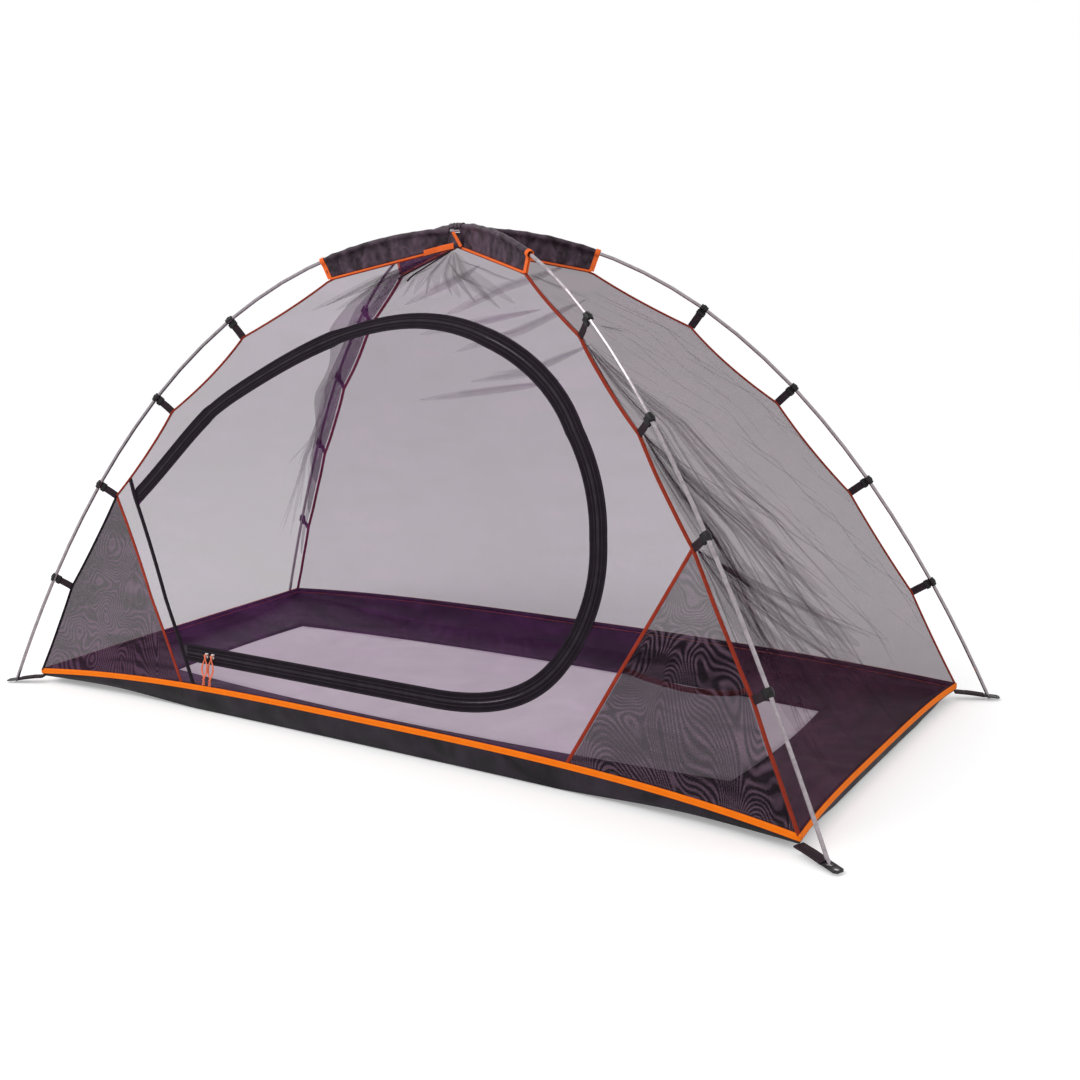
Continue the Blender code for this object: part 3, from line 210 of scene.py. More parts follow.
@dataclass
class Seam:
    """A corner seam of the net, from the hem up to the peak, scalloped between its straps."""

    arch: Arch
    side: int
    peak: float
    strap_reach: float = 0.0500
    sleeve_start_distance: float = 1.400
    sleeve_drop: float = 0.0450
    corner_radius: float = 1.1350
    corner_height: float = 0.0300
    sags: tuple[float, ...] = (0.002, 0.003, 0.007, 0.012, 0.009, 0.0)
    direction: Array = field(init=False)
    heights: Array = field(init=False)
    radii: Array = field(init=False)

    def __post_init__(self) -> None:
        """Find the anchors: the hem corner, the straps' ends, the sleeve's end and the peak."""
        self.direction = self.arch.heading * self.side
        anchors = [(self.corner_radius, self.corner_height)]
        drops = [(distance, self.strap_reach) for distance in self.arch.clips]
        for distance, drop in drops + [(self.sleeve_start_distance, self.sleeve_drop)]:
            radius, height = self.arch.flat(distance)
            inward = self.arch.inward(distance)
            anchors.append((abs(radius) - math.hypot(inward[0], inward[1]) * drop, height + inward[2] * drop))
        anchors.append((0.0, self.peak))
        self.heights = np.array([anchor[1] for anchor in anchors])
        self.radii = np.array([anchor[0] for anchor in anchors])

    def radius(self, heights: Array) -> Array:
        """How far the seam is from the tent's middle at each height.

        Args:
            heights: the heights.

        Returns:
            One radius per height.
        """
        held = np.clip(heights, self.heights[0], self.heights[-1])
        span = np.clip(np.searchsorted(self.heights, held, side="right") - 1, 0, len(self.sags) - 1)
        low, high = self.heights[span], self.heights[span + 1]
        share = (held - low) / (high - low)
        straight = self.radii[span] + (self.radii[span + 1] - self.radii[span]) * share
        return straight - np.array(self.sags)[span] * 4 * share * (1 - share)

    def points(self, heights: Array) -> Array:
        """The seam's places at each height."""
        radii = np.atleast_1d(self.radius(heights))
        return self.direction * radii[:, None] + np.outer(np.atleast_1d(heights), (0.0, 0.0, 1.0))


@dataclass
class Wall:
    """One side of the net, ruled level between two corner seams and drawn in towards its middle."""

    low: Seam
    high: Seam
    axis: int
    inward: int
    sag: float = 0.022
    spread: float = 2.200

    def points(self, along: Array, heights: Array) -> Array:
        """The wall's middle surface at flat places.

        Args:
            along: places along the wall.
            heights: heights above the ground.

        Returns:
            One place in space per row.
        """
        other = 1 - self.axis
        low = self.low.direction[None, :] * self.low.radius(heights)[:, None]
        high = self.high.direction[None, :] * self.high.radius(heights)[:, None]
        reach = np.maximum(high[:, self.axis] - low[:, self.axis], 0.0003)
        share = np.clip((along - low[:, self.axis]) / reach, 0.0, 1.0)
        depth = low[:, other] + (high[:, other] - low[:, other]) * share
        draw = self.sag * reach / self.spread * (1 - (2 * share - 1) ** 4)
        result = np.zeros((len(heights), 3))
        result[:, self.axis] = along
        result[:, other] = depth + draw * self.inward
        result[:, 2] = heights
        return result

    def normals(self, along: Array, heights: Array) -> Array:
        """The directions out of the tent, square to the surface.

        Args:
            along: places along the wall.
            heights: their heights.

        Returns:
            One vector with a length of 1 per place.
        """
        step = 0.004
        side = self.points(along + step, heights) - self.points(along - step, heights)
        up = self.points(along, heights + step) - self.points(along, heights - step)
        out = unit(np.cross(side, up))
        facing = np.zeros(3)
        facing[1 - self.axis] = -self.inward
        return out * np.where(out @ facing > 0, 1.0, -1.0)[:, None]

    def point(self, along: float, height: float) -> Array:
        """One place on the wall."""
        return self.points(np.array([along]), np.array([height]))[0]

    def normal(self, along: float, height: float) -> Array:
        """One direction out of the wall."""
        return self.normals(np.array([along]), np.array([height]))[0]

    def edge(self, height: float, high_side: bool) -> float:
        """Where the wall meets its corner seam at a height, measured along it."""
        seam = self.high if high_side else self.low
        return float(seam.points(np.array([height]))[0][self.axis])


@dataclass
class TentShape:
    """The arches, seams and walls that every piece is built on, and the hem and door lines."""

    arch_height: float = 1.1010
    pole_diameter: float = 0.0085
    crossing_gap: float = 0.0006
    net_peak_height: float = 1.0600
    lower_clip_distances: tuple[float, ...] = (0.310, 0.588, 0.859, 1.129)
    upper_clip_distances: tuple[float, ...] = (0.314, 0.618, 0.879, 1.151)
    hem_corner_radius: float = 1.1350
    hem_corner_height: float = 0.0300
    hem_rise_long: float = 0.0350
    hem_rise_end: float = 0.0050
    hinge_foot: Flat = (-0.5420, 0.1390)
    hinge_head: Flat = (-0.7420, 0.4830)
    zip_run_height: float = 0.1390
    zip_run_end: float = 0.200
    door_right: float = 0.566
    door_right_height: float = 0.440
    door_top: float = 0.902
    door_top_centre: float = 0.030
    door_lower_corner: Flat = (0.470, 0.2120)
    door_right_shoulder: Flat = (0.425, 0.7450)
    door_left_shoulder: Flat = (-0.470, 0.7400)
    gusset_foot_along: float = 0.540
    lower: Arch = field(init=False)
    upper: Arch = field(init=False)
    seams: dict[Corner, Seam] = field(init=False)
    front: Wall = field(init=False)
    back: Wall = field(init=False)
    left_end: Wall = field(init=False)
    right_end: Wall = field(init=False)

    def __post_init__(self) -> None:
        """Lay out the arches, the seams and the walls."""
        rise = (self.pole_diameter + self.crossing_gap) / 2
        self.lower = Arch(1, 0.232, 0.517, 0.600, self.arch_height - rise, self.lower_clip_distances)
        self.upper = Arch(-1, 0.274, 0.511, 0.537, self.arch_height + rise, self.upper_clip_distances)
        peak = self.net_peak_height
        self.seams = {
            Corner.FRONT_LEFT: Seam(self.lower, -1, peak),
            Corner.BACK_RIGHT: Seam(self.lower, 1, peak),
            Corner.BACK_LEFT: Seam(self.upper, -1, peak),
            Corner.FRONT_RIGHT: Seam(self.upper, 1, peak),
        }
        at = self.seams
        self.front = Wall(at[Corner.FRONT_LEFT], at[Corner.FRONT_RIGHT], 0, 1)
        self.back = Wall(at[Corner.BACK_LEFT], at[Corner.BACK_RIGHT], 0, -1)
        self.left_end = Wall(at[Corner.FRONT_LEFT], at[Corner.BACK_LEFT], 1, 1)
        self.right_end = Wall(at[Corner.FRONT_RIGHT], at[Corner.BACK_RIGHT], 1, -1)

    def hem_half(self, wall: Wall) -> float:
        """Half of a wall's length at the hem."""
        return self.hem_corner_radius * abs(float(self.lower.heading[wall.axis]))

    def hem_height(self, wall: Wall, along: float) -> float:
        """The height of the hem tape's middle along a wall.

        Args:
            wall: the wall.
            along: the place along it.

        Returns:
            The height above the ground.
        """
        rise = self.hem_rise_long if wall.axis == 0 else self.hem_rise_end
        share = min(abs(along) / self.hem_half(wall), 1.0)
        return self.hem_corner_height + rise * (1 - share ** 3)

    def gusset_top(self, side: int) -> float:
        """The height of the strap where a gusset's seam starts."""
        seam = self.seams[Corner.FRONT_LEFT if side < 0 else Corner.FRONT_RIGHT]
        return float(seam.heights[2])

    def gusset_line(self, side: int, height: float) -> float:
        """Where the seam between gusset and front wall is at a height.

        Args:
            side: 1 for the right-hand gusset, -1 for the left-hand one.
            height: the height.

        Returns:
            The place along the front wall.
        """
        top = self.gusset_top(side)
        edge = self.front.edge(top, side > 0)
        foot_height = self.hem_corner_height + self.hem_rise_long
        share = (height - foot_height) / (top - foot_height)
        return side * self.gusset_foot_along + (edge - side * self.gusset_foot_along) * share

    def door_line(self, step: float = 0.02) -> list[Flat]:
        """The zip's middle line, from the hinge's foot along the bottom and round to its head.

        Args:
            step: the most that two points lie apart.

        Returns:
            Flat points on the front wall.
        """
        head, shoulder = np.array(self.hinge_head), np.array(self.door_left_shoulder)
        arc = curve_through(
            [(self.zip_run_end, self.zip_run_height), self.door_lower_corner,
             (self.door_right, self.door_right_height), self.door_right_shoulder,
             (self.door_top_centre, self.door_top), self.door_left_shoulder, self.hinge_head],
            np.array([1.0, 0.0]), unit(head - shoulder), 24)
        return resample([self.hinge_foot] + arc, step)


def curve_through(points: Sequence[Flat], first: Array, last: Array, steps: int) -> list[Flat]:
    """A smooth curve through flat points.

    Args:
        points: the points that it passes.
        first: its direction at the first point.
        last: its direction at the last point.
        steps: how many parts each span has.

    Returns:
        The curve's points.
    """
    places = [np.array(point) for point in points]
    headings = [first]
    for index in range(1, len(places) - 1):
        both = unit(places[index] - places[index - 1]) + unit(places[index + 1] - places[index])
        headings.append(unit(both))
    headings.append(last)
    curve: list[Flat] = []
    for index in range(len(places) - 1):
        here, there = places[index], places[index + 1]
        reach = float(np.linalg.norm(there - here))
        for step in range(steps):
            t = step / steps
            blend = (2 * t ** 3 - 3 * t ** 2 + 1) * here + (t ** 3 - 2 * t ** 2 + t) * headings[index] * reach
            blend = blend + (3 * t ** 2 - 2 * t ** 3) * there
            blend = blend + (t ** 3 - t ** 2) * headings[index + 1] * reach
            curve.append((float(blend[0]), float(blend[1])))
    return curve + [points[-1]]


def resample(path: Sequence[Flat], step: float, start: float = 0.0, end: float = 0.0) -> list[Flat]:
    """Even points along a flat path.

    Args:
        path: the path's points.
        step: the most that two points lie apart.
        start: how much is cut off its start.
        end: how much is cut off its end.

    Returns:
        The new points.
    """
    line = np.array(path)
    runs = runs_along(line)
    count = max(1, int(math.ceil((runs[-1] - start - end) / step)))
    stops = np.linspace(start, runs[-1] - end, count + 1)
    return [(float(np.interp(stop, runs, line[:, 0])), float(np.interp(stop, runs, line[:, 1])))
            for stop in stops]


def offset(path: Sequence[Flat], distance: float) -> list[Flat]:
    """A flat path moved to its right-hand side by a distance.

    Args:
        path: the path's points.
        distance: how far it moves.

    Returns:
        The new points.
    """
    line = np.array(path)
    run = unit(np.gradient(line, axis=0))
    return [(float(x), float(y)) for x, y in line + np.stack([run[:, 1], -run[:, 0]], axis=1) * distance]


# Mesh making


def deselect_all() -> None:
    """Leave object mode with nothing selected."""
    if bpy.context.object and bpy.context.object.mode != "OBJECT":
        bpy.ops.object.mode_set(mode="OBJECT")
    bpy.ops.object.select_all(action="DESELECT")


def select_only(*pieces: Object) -> None:
    """Select these pieces and no other, with the first one active."""
    deselect_all()
    for piece in pieces:
        piece.select_set(True)
    bpy.context.view_layer.objects.active = pieces[0]


def turn_outwards(mesh: bpy.types.Mesh) -> None:
    """Turn a mesh's faces to point outwards.

    Args:
        mesh: the mesh.
    """
    work = bmesh.new()
    work.from_mesh(mesh)
    bmesh.ops.recalc_face_normals(work, faces=work.faces)
    work.to_mesh(mesh)
    work.free()


def link_new(name: str, data: bpy.types.ID) -> Object:
    """Add a new object to the scene.

    Args:
        name: the object's name.
        data: its mesh, lamp or camera.

    Returns:
        The new object.
    """
    made = bpy.data.objects.new(name, data)
    bpy.context.scene.collection.objects.link(made)
    return made


def axes_at(place: Sequence[float], first: Sequence[float], second: Sequence[float],
            third: Sequence[float]) -> Matrix:
    """The matrix that puts a piece at a place, turned to three directions."""
    return Matrix.Translation(place) @ Matrix((first, second, third)).transposed().to_4x4()


def add_mesh(name: str, points: Iterable, faces: Sequence[Sequence[int]], uvs: Optional[Sequence] = None,
             smooth: float = 60.0) -> Object:
    """Add a mesh to the scene with its place in its points.

    Args:
        name: the piece's name.
        points: its places in space.
        faces: its faces.
        uvs: one UV place per point, in metres along and across the cloth.
        smooth: faces that meet at less than this many degrees are shaded as one.

    Returns:
        The new object.
    """
    mesh = bpy.data.meshes.new(name)
    mesh.from_pydata([tuple(map(float, point)) for point in points], [], [tuple(face) for face in faces])
    if uvs is not None:
        layer = mesh.uv_layers.new(name="UVMap")
        for loop in mesh.loops:
            layer.data[loop.index].uv = tuple(uvs[loop.vertex_index])
    mesh.shade_smooth()
    mesh.set_sharp_from_angle(angle=math.radians(smooth))
    return link_new(name, mesh)


def grid_faces(rows: int, columns: int, around: bool = False, across: bool = False,
               flipped: bool = False) -> list[tuple[int, ...]]:
    """The four-sided faces of a grid of points.

    Args:
        rows: how many rows it has.
        columns: how many points each row has.
        around: whether the last row joins the first.
        across: whether each row's last point joins its first.
        flipped: whether the faces wind the other way.

    Returns:
        The faces, row by row.
    """
    faces = []
    for row in range(rows if around else rows - 1):
        here, there = row * columns, (row + 1) % rows * columns
        for side in range(columns if across else columns - 1):
            after = (side + 1) % columns
            face = (here + side, here + after, there + after, there + side)
            faces.append((face[0], *face[:0:-1]) if flipped else face)
    return faces


def mesh_area(made: Object) -> float:
    """The area of all of a piece's faces."""
    return float(sum(face.area for face in made.data.polygons))


def inside(points: Array, loop: Array) -> Array:
    """Which flat points lie inside a closed loop.

    Args:
        points: the flat points.
        loop: the loop's points.

    Returns:
        True or False per point.
    """
    x, y = points[:, None, 0], points[:, None, 1]
    here, there = loop[None, :, :], np.roll(loop, -1, axis=0)[None, :, :]
    spans = (here[..., 1] > y) != (there[..., 1] > y)
    rise = np.where(spans, there[..., 1] - here[..., 1], 1.0)
    cross = here[..., 0] + (y - here[..., 1]) * (there[..., 0] - here[..., 0]) / rise
    return (np.count_nonzero(spans & (x < cross), axis=1) % 2) == 1


def loop_distance(points: Array, loop: Array) -> Array:
    """How far each flat point is from a closed loop.

    Args:
        points: the flat points.
        loop: the loop's points.

    Returns:
        One distance per point.
    """
    here = loop[None, :, :]
    run = np.roll(loop, -1, axis=0)[None, :, :] - here
    size = np.maximum((run ** 2).sum(-1), 1e-12)
    off = points[:, None, :] - here
    share = np.clip((off * run).sum(-1) / size, 0.0, 1.0)
    return np.linalg.norm(off - run * share[..., None], axis=-1).min(axis=1)


def cut_flat(outer: Sequence[Flat], holes: Sequence[Sequence[Flat]], size: float) -> tuple[Array, list]:
    """Divide a flat outline with holes into even triangles.

    Args:
        outer: the outline.
        holes: the loops cut out of it.
        size: the spacing of the points.

    Returns:
        The flat points and the triangles.
    """
    loops = [np.array(outer)] + [np.array(hole) for hole in holes]
    edges, start = [], 0
    for loop in loops:
        count = len(loop)
        edges.extend((start + step, start + (step + 1) % count) for step in range(count))
        start += count
    low, high = loops[0].min(axis=0), loops[0].max(axis=0)
    rows, columns = (int((high[axis] - low[axis]) / size) + 2 for axis in (1, 0))
    grid = np.array([(low[0] + column * size + (size / 2 if row % 2 else 0.0), low[1] + row * size)
                     for row in range(rows) for column in range(columns)])
    keep = inside(grid, loops[0])
    for hole in loops[1:]:
        keep &= ~inside(grid, hole)
    grid = grid[keep]
    clear = np.ones(len(grid), dtype=bool)
    for loop in loops:
        clear &= loop_distance(grid, loop) > size * 0.45
    flat = [Vector(point) for point in np.vstack(loops + [grid[clear]])]
    vertices, _, triangles, *_ = delaunay_2d_cdt(flat, edges, [], 0, 1e-6)
    places = np.array([tuple(vertex) for vertex in vertices])
    centres = np.array([places[list(triangle)].mean(axis=0) for triangle in triangles])
    held = inside(centres, loops[0])
    for hole in loops[1:]:
        held &= ~inside(centres, hole)
    kept = [triangle for triangle, keep_it in zip(triangles, held) if keep_it]
    used = sorted({corner for triangle in kept for corner in triangle})
    where = {corner: index for index, corner in enumerate(used)}
    return places[used], [tuple(where[corner] for corner in triangle) for triangle in kept]


def net_sheet(name: str, wall: Wall, outer: Sequence[Flat], holes: Sequence[Sequence[Flat]], size: float,
              relief: Optional[Callable[[Array, Array, Array], Array]] = None, lift: float = 0.0) -> Object:
    """Cut cloth to a flat outline and lay it on a wall.

    Args:
        name: the piece's name.
        wall: the wall that it lies on.
        outer: its outline.
        holes: the loops cut out of it.
        size: the spacing of its points.
        relief: the height of its creases at flat places and at a distance from its nearest edge.
        lift: how far it stands outside the wall's surface.

    Returns:
        The sheet, with its UV map in metres.
    """
    flat, triangles = cut_flat(outer, holes, size)
    along, heights = flat[:, 0], flat[:, 1]
    places, out = wall.points(along, heights), wall.normals(along, heights)
    height = np.full(len(flat), lift)
    if relief:
        room = np.minimum.reduce([loop_distance(flat, np.array(loop)) for loop in [outer] + list(holes)])
        height = height + relief(along, heights, room)
    places = places + out * height[:, None]
    made = add_mesh(name, places, triangles, flat)
    facing = np.mean([np.dot(np.array(face.normal), out[face.vertices[0]]) for face in made.data.polygons])
    if facing < 0:
        made.data.flip_normals()
    return made


def sweep(name: str, places: Array, sideways: Array, outward: Array, section: Sequence[Flat],
          closed: bool = False, smooth: float = 50.0) -> Object:
    """A strip with one section along a line.

    Args:
        name: the piece's name.
        places: the line's points.
        sideways: the section's first direction at each point.
        outward: its second direction at each point.
        section: its points.
        closed: whether the line comes back to its start. Otherwise its ends are capped.
        smooth: faces that meet at less than this many degrees are shaded as one.

    Returns:
        The strip. Its UV map runs along the line and round the section, in metres.
    """
    width, count = len(section), len(places)
    across, out = np.array(section).T
    runs, girth = runs_along(places), runs_along([*section, section[0]])
    points = (places[:, None, :] + sideways[:, None, :] * across[None, :, None]
              + outward[:, None, :] * out[None, :, None]).reshape(-1, 3)
    faces = grid_faces(count, width, closed, True)
    ends = [*runs[1:], runs[-1] + math.dist(places[-1], places[0])]
    corners = [corner for near, far in list(zip(runs, ends))[:count if closed else -1]
               for low, high in zip(girth, girth[1:])
               for corner in ((near, low), (near, high), (far, high), (far, low))]
    if not closed:
        for row, run in ((0, runs[0]), (count - 1, runs[-1])):
            faces.append(tuple(row * width + side for side in range(width)))
            corners.extend((run, girth[side]) for side in range(width))
    made = add_mesh(name, points, faces, None, smooth)
    layer = made.data.uv_layers.new(name="UVMap")
    for loop, corner in zip(made.data.loops, corners):
        layer.data[loop.index].uv = corner
    turn_outwards(made.data)
    return made


def rounded(width: float, thickness: float, bulge: float = 0.0) -> list[Flat]:
    """The section of a flat tape with soft edges.

    Args:
        width: its full width.
        thickness: its full thickness.
        bulge: how much thicker it is in its middle.

    Returns:
        Points of the section, starting at one edge.
    """
    half, edge = width / 2, thickness / 2
    shares = (-1.0, -0.92, -0.5, 0.0, 0.5, 0.92, 1.0)
    top = [(half * s, (edge if abs(s) < 0.95 else 0.0) + bulge * (1 - s * s)) for s in shares]
    return top + [(x, -y) for x, y in top[-2:0:-1]]


def line_frames(places: Array, outward: Array) -> tuple[Array, Array]:
    """The exact sideways and outward directions of a strip that faces about one way at each point.

    Args:
        places: the line's points.
        outward: about where the strip faces at each.

    Returns:
        The sideways and the outward directions.
    """
    run = unit(np.gradient(places, axis=0))
    sideways = unit(np.cross(run, outward))
    return sideways, unit(np.cross(sideways, run))


def tape(name: str, places: Array, facing: Array, size: tuple[float, float, float]) -> Object:
    """A flat tape along a line.

    Args:
        name: the piece's name.
        places: the line's points.
        facing: about where its face points, everywhere or at each point.
        size: its width, its thickness and how much it bulges.

    Returns:
        The tape.
    """
    sideways, out = line_frames(places, np.broadcast_to(facing, places.shape))
    return sweep(name, places, sideways, out, rounded(*size))


def wall_line(wall: Wall, path: Sequence[Flat], lift: float = 0.0) -> tuple[Array, Array]:
    """A flat path laid on a wall.

    Args:
        wall: the wall.
        path: the flat points.
        lift: how far the line stands outside the wall's surface.

    Returns:
        The places and the directions out of the wall.
    """
    flat = np.array(path)
    out = wall.normals(flat[:, 0], flat[:, 1])
    return wall.points(flat[:, 0], flat[:, 1]) + out * lift, out


def tube(name: str, places: Sequence[Sequence[float]], radius: float, sides: int = 10) -> Object:
    """A round cord through points, as a closed mesh with a UV map in metres.

    Args:
        name: the cord's name.
        places: the points of its middle line.
        radius: its radius.
        sides: how many flats go round it.

    Returns:
        The cord.
    """
    line = np.array(places, dtype=float)
    run = unit(np.gradient(line, axis=0))
    side = unit(np.cross(run[0], np.array([0.31, 0.27, 0.91])))
    sides_at, outs_at = [], []
    for heading in run:
        side = unit(side - heading * float(side @ heading))
        sides_at.append(side)
        outs_at.append(np.cross(heading, side))
    turns = [2 * math.pi * step / sides for step in range(sides)]
    section = [(radius * math.cos(turn), radius * math.sin(turn)) for turn in turns]
    return sweep(name, line, np.array(sides_at), np.array(outs_at), section, smooth=75.0)


def join_pieces(name: str, pieces: Sequence[Object]) -> Object:
    """Join pieces into the first one and rename it.

    Args:
        name: the new name.
        pieces: the pieces.

    Returns:
        The joined piece.
    """
    select_only(*pieces)
    bpy.ops.object.join()
    pieces[0].name = pieces[0].data.name = name
    deselect_all()
    return pieces[0]


def settle(made: Object) -> None:
    """Put a piece's place into its mesh and apply its modifiers.

    Args:
        made: the piece.
    """
    select_only(made)
    bpy.ops.object.transform_apply(location=True, rotation=True, scale=True)
    for modifier in list(made.modifiers):
        bpy.ops.object.modifier_apply(modifier=modifier.name)
    deselect_all()


def thicken(piece: Object, side: float = 0.0) -> None:
    """Give a cut of cloth its thickness, to both its sides or, with -1, to its back.

    Args:
        piece: the cloth.
        side: 0 for both sides, -1 for its back.
    """
    solid = piece.modifiers.new("cloth", "SOLIDIFY")
    solid.thickness, solid.offset = CLOTH, side
    settle(piece)


# Finishes


@dataclass
class Painter:
    """Lays out one material's nodes."""

    material: Material
    shader: bpy.types.Node = field(init=False)

    def __post_init__(self) -> None:
        """Find the shader node."""
        self.material.use_nodes = True
        self.shader = self.material.node_tree.nodes["Principled BSDF"]

    def fill(self, slot: Socket, value: object) -> None:
        """Give an input a link, a number, a vector or a colour.

        Args:
            slot: the input.
            value: what it gets.
        """
        if isinstance(value, Socket):
            self.material.node_tree.links.new(value, slot)
        elif isinstance(value, (int, float)):
            slot.default_value = float(value)
        else:
            slot.default_value = value if slot.type == "VECTOR" else (*value, 1.0)

    def node(self, kind: str, inputs: dict, output: object = 0, **values: str) -> Socket:
        """Add one node.

        Args:
            kind: its type, without the prefix that all shader nodes have.
            inputs: what each input gets, by name or number.
            output: which output is wanted, by name or number.
            values: the node's own properties.

        Returns:
            The output.
        """
        made = self.material.node_tree.nodes.new("ShaderNode" + kind)
        for key, value in values.items():
            setattr(made, key, value)
        for key, value in inputs.items():
            self.fill(made.inputs[key], value)
        return made.outputs[output]

    def place(self, source: str = "UV", scale: Sequence[float] = (1.0, 1.0, 1.0),
              turn: float = 0.0) -> Socket:
        """UV or Object coordinates in metres, scaled along each direction and turned by degrees about Z.

        Args:
            source: UV or Object.
            scale: the scale along each direction.
            turn: the turn in degrees.

        Returns:
            The coordinates.
        """
        vector = self.node("TexCoord", {}, source)
        return self.node("Mapping", {"Vector": vector, "Scale": scale,
                                     "Rotation": (0.0, 0.0, math.radians(turn))})

    def noise(self, vector: Socket, scale: float, detail: float = 3.0, distortion: float = 0.0) -> Socket:
        """Cloudy noise."""
        return self.node("TexNoise", {"Vector": vector, "Scale": scale, "Detail": detail,
                                      "Distortion": distortion}, "Fac")

    def bands(self, vector: Socket, period: float, direction: str = "X") -> Socket:
        """Even ribs with a period in metres.

        Args:
            vector: the coordinates.
            period: the width of one rib.
            direction: X or Y.

        Returns:
            A value of 0 to 1.
        """
        scale = 2 * math.pi / (20.0 * period)
        inputs = {"Vector": vector, "Scale": scale, "Detail": 0.0}
        return self.node("TexWave", inputs, "Fac", bands_direction=direction)

    def math(self, kind: str, first: object, second: object = 0.5) -> Socket:
        """A step on one or two numbers or sockets."""
        return self.node("Math", {0: first, 1: second}, operation=kind)

    def times(self, first: object, second: object) -> Socket:
        """The product of two numbers or sockets."""
        return self.math("MULTIPLY", first, second)

    def mean(self, first: Socket, second: Socket, share: float) -> Socket:
        """A weighted sum, with a share of the first and the rest of the second."""
        return self.math("ADD", self.times(first, share), self.times(second, 1.0 - share))

    def ranged(self, value: Socket, low: float, high: float, to_low: float = 0.0,
               to_high: float = 1.0) -> Socket:
        """A value moved from one range to another, and held inside it."""
        limits = {"From Min": low, "From Max": high, "To Min": to_low, "To Max": to_high}
        return self.node("MapRange", {"Value": value, **limits}, "Result")

    def blend(self, share: Socket, first: object, second: object) -> Socket:
        """Mix two colours or colour sockets by a share."""
        return self.node("Mix", {"Factor": share, 6: first, 7: second}, 2, data_type="RGBA")

    def bump(self, height: Socket, strength: float, distance: float) -> Socket:
        """The normal of a surface raised by a height in metres."""
        return self.node("Bump", {"Strength": strength, "Distance": distance, "Height": height}, "Normal")

    def settings(self, **values: object) -> None:
        """Fill the shader's own sockets, by their names with underscores."""
        for key, value in values.items():
            self.fill(self.shader.inputs[key.replace("_", " ").title().replace("Ior", "IOR")], value)


@dataclass(frozen=True)
class Finish(ABC):
    """A surface that wanders between a dark and a light colour."""

    name: str
    dark: Colour
    light: Colour

    @abstractmethod
    def lay(self, paint: Painter) -> None:
        """Lay out the nodes."""

    def make(self) -> Material:
        """Make the material.

        Returns:
            The new material.
        """
        paint = Painter(bpy.data.materials.new(self.name))
        self.lay(paint)
        return paint.material


@dataclass(frozen=True)
class NetFinish(Finish):
    """Fine knitted mesh, see-through, with the slow waves that crossing meshes make."""

    alpha: float
    wave: float = 0.10
    wave_size: float = 0.012
    mesh_size: float = 0.0016

    def lay(self, paint: Painter) -> None:
        """Lay out the nodes.

        Args:
            paint: what lays them out.
        """
        place = paint.place()
        weave = paint.math("MAXIMUM", paint.bands(place, self.mesh_size, "X"),
                           paint.bands(place, self.mesh_size, "Y"))
        clouds = paint.noise(place, 3.0, 4.0, 0.6)
        streaks = paint.noise(paint.place("UV", (1.3, 7.5, 1.0), 9.0), 3.4, 5.0, 1.1)
        uneven = paint.times(paint.ranged(clouds, 0.32, 0.68, 0.30, 1.0),
                             paint.ranged(streaks, 0.35, 0.66, 0.35, 1.35))
        share = paint.times(paint.ranged(weave, 0.0, 1.0, 0.65, 1.0), uneven)
        hills = paint.noise(paint.place("UV", (1.0, 0.7, 1.0), 31.0), 5.0, 1.6, 0.5)
        waves = paint.math("SINE", paint.times(hills, 4.6 / self.wave_size))
        share = paint.times(share, paint.ranged(waves, -0.6, 1.0, 1.0 - self.wave, 1.0 + self.wave))
        paint.settings(base_color=paint.blend(share, self.dark, self.light),
                       normal=paint.bump(weave, 0.25, 0.0004),
                       roughness=0.75, specular_ior_level=0.05, alpha=self.alpha)


@dataclass(frozen=True)
class ClothFinish(Finish):
    """Plain-woven cloth, with crumples, painted shade and highlights along them, a proofed sheen and an
    optional painted glow.
    """

    roughness: tuple[float, float]
    sheen: float
    crumple: float
    crumple_size: float
    source: str = "UV"
    # The strength of a painted glow.
    glow: float = 0.0
    thread: float = 0.0012

    def lay(self, paint: Painter) -> None:
        """Lay out the nodes.

        Args:
            paint: what lays them out.
        """
        place = paint.place(self.source)
        weave = paint.times(paint.bands(place, self.thread, "X"), paint.bands(place, self.thread, "Y"))
        creases = paint.noise(place, self.crumple_size, 5.0, 1.4)
        slanted = paint.place(self.source, (1.0, 0.4, 1.0), 24.0)
        folds = paint.noise(slanted, self.crumple_size * 0.35, 2.0, 2.2)
        crumples_and_painted_shade = paint.mean(creases, folds, 0.55)
        # The crumples darken and lighten the colour: painted shade in their hollows and painted highlights on
        # their ridges.
        share = paint.times(paint.ranged(crumples_and_painted_shade, 0.40, 0.64), paint.ranged(weave, 0.0, 1.0, 0.75, 1.0))
        height = paint.math("ADD", paint.times(crumples_and_painted_shade, self.crumple), paint.times(weave, 0.03))
        paint.settings(base_color=paint.blend(share, self.dark, self.light),
                       normal=paint.bump(height, 0.55, 0.006),
                       roughness=paint.ranged(creases, 0.3, 0.7, *self.roughness), sheen_weight=self.sheen,
                       sheen_roughness=0.4, specular_ior_level=0.22)
        # A painted glow: the cloth gives off its light colour, though it is no lamp.
        if self.glow:
            paint.settings(emission_color=self.light, emission_strength=self.glow)


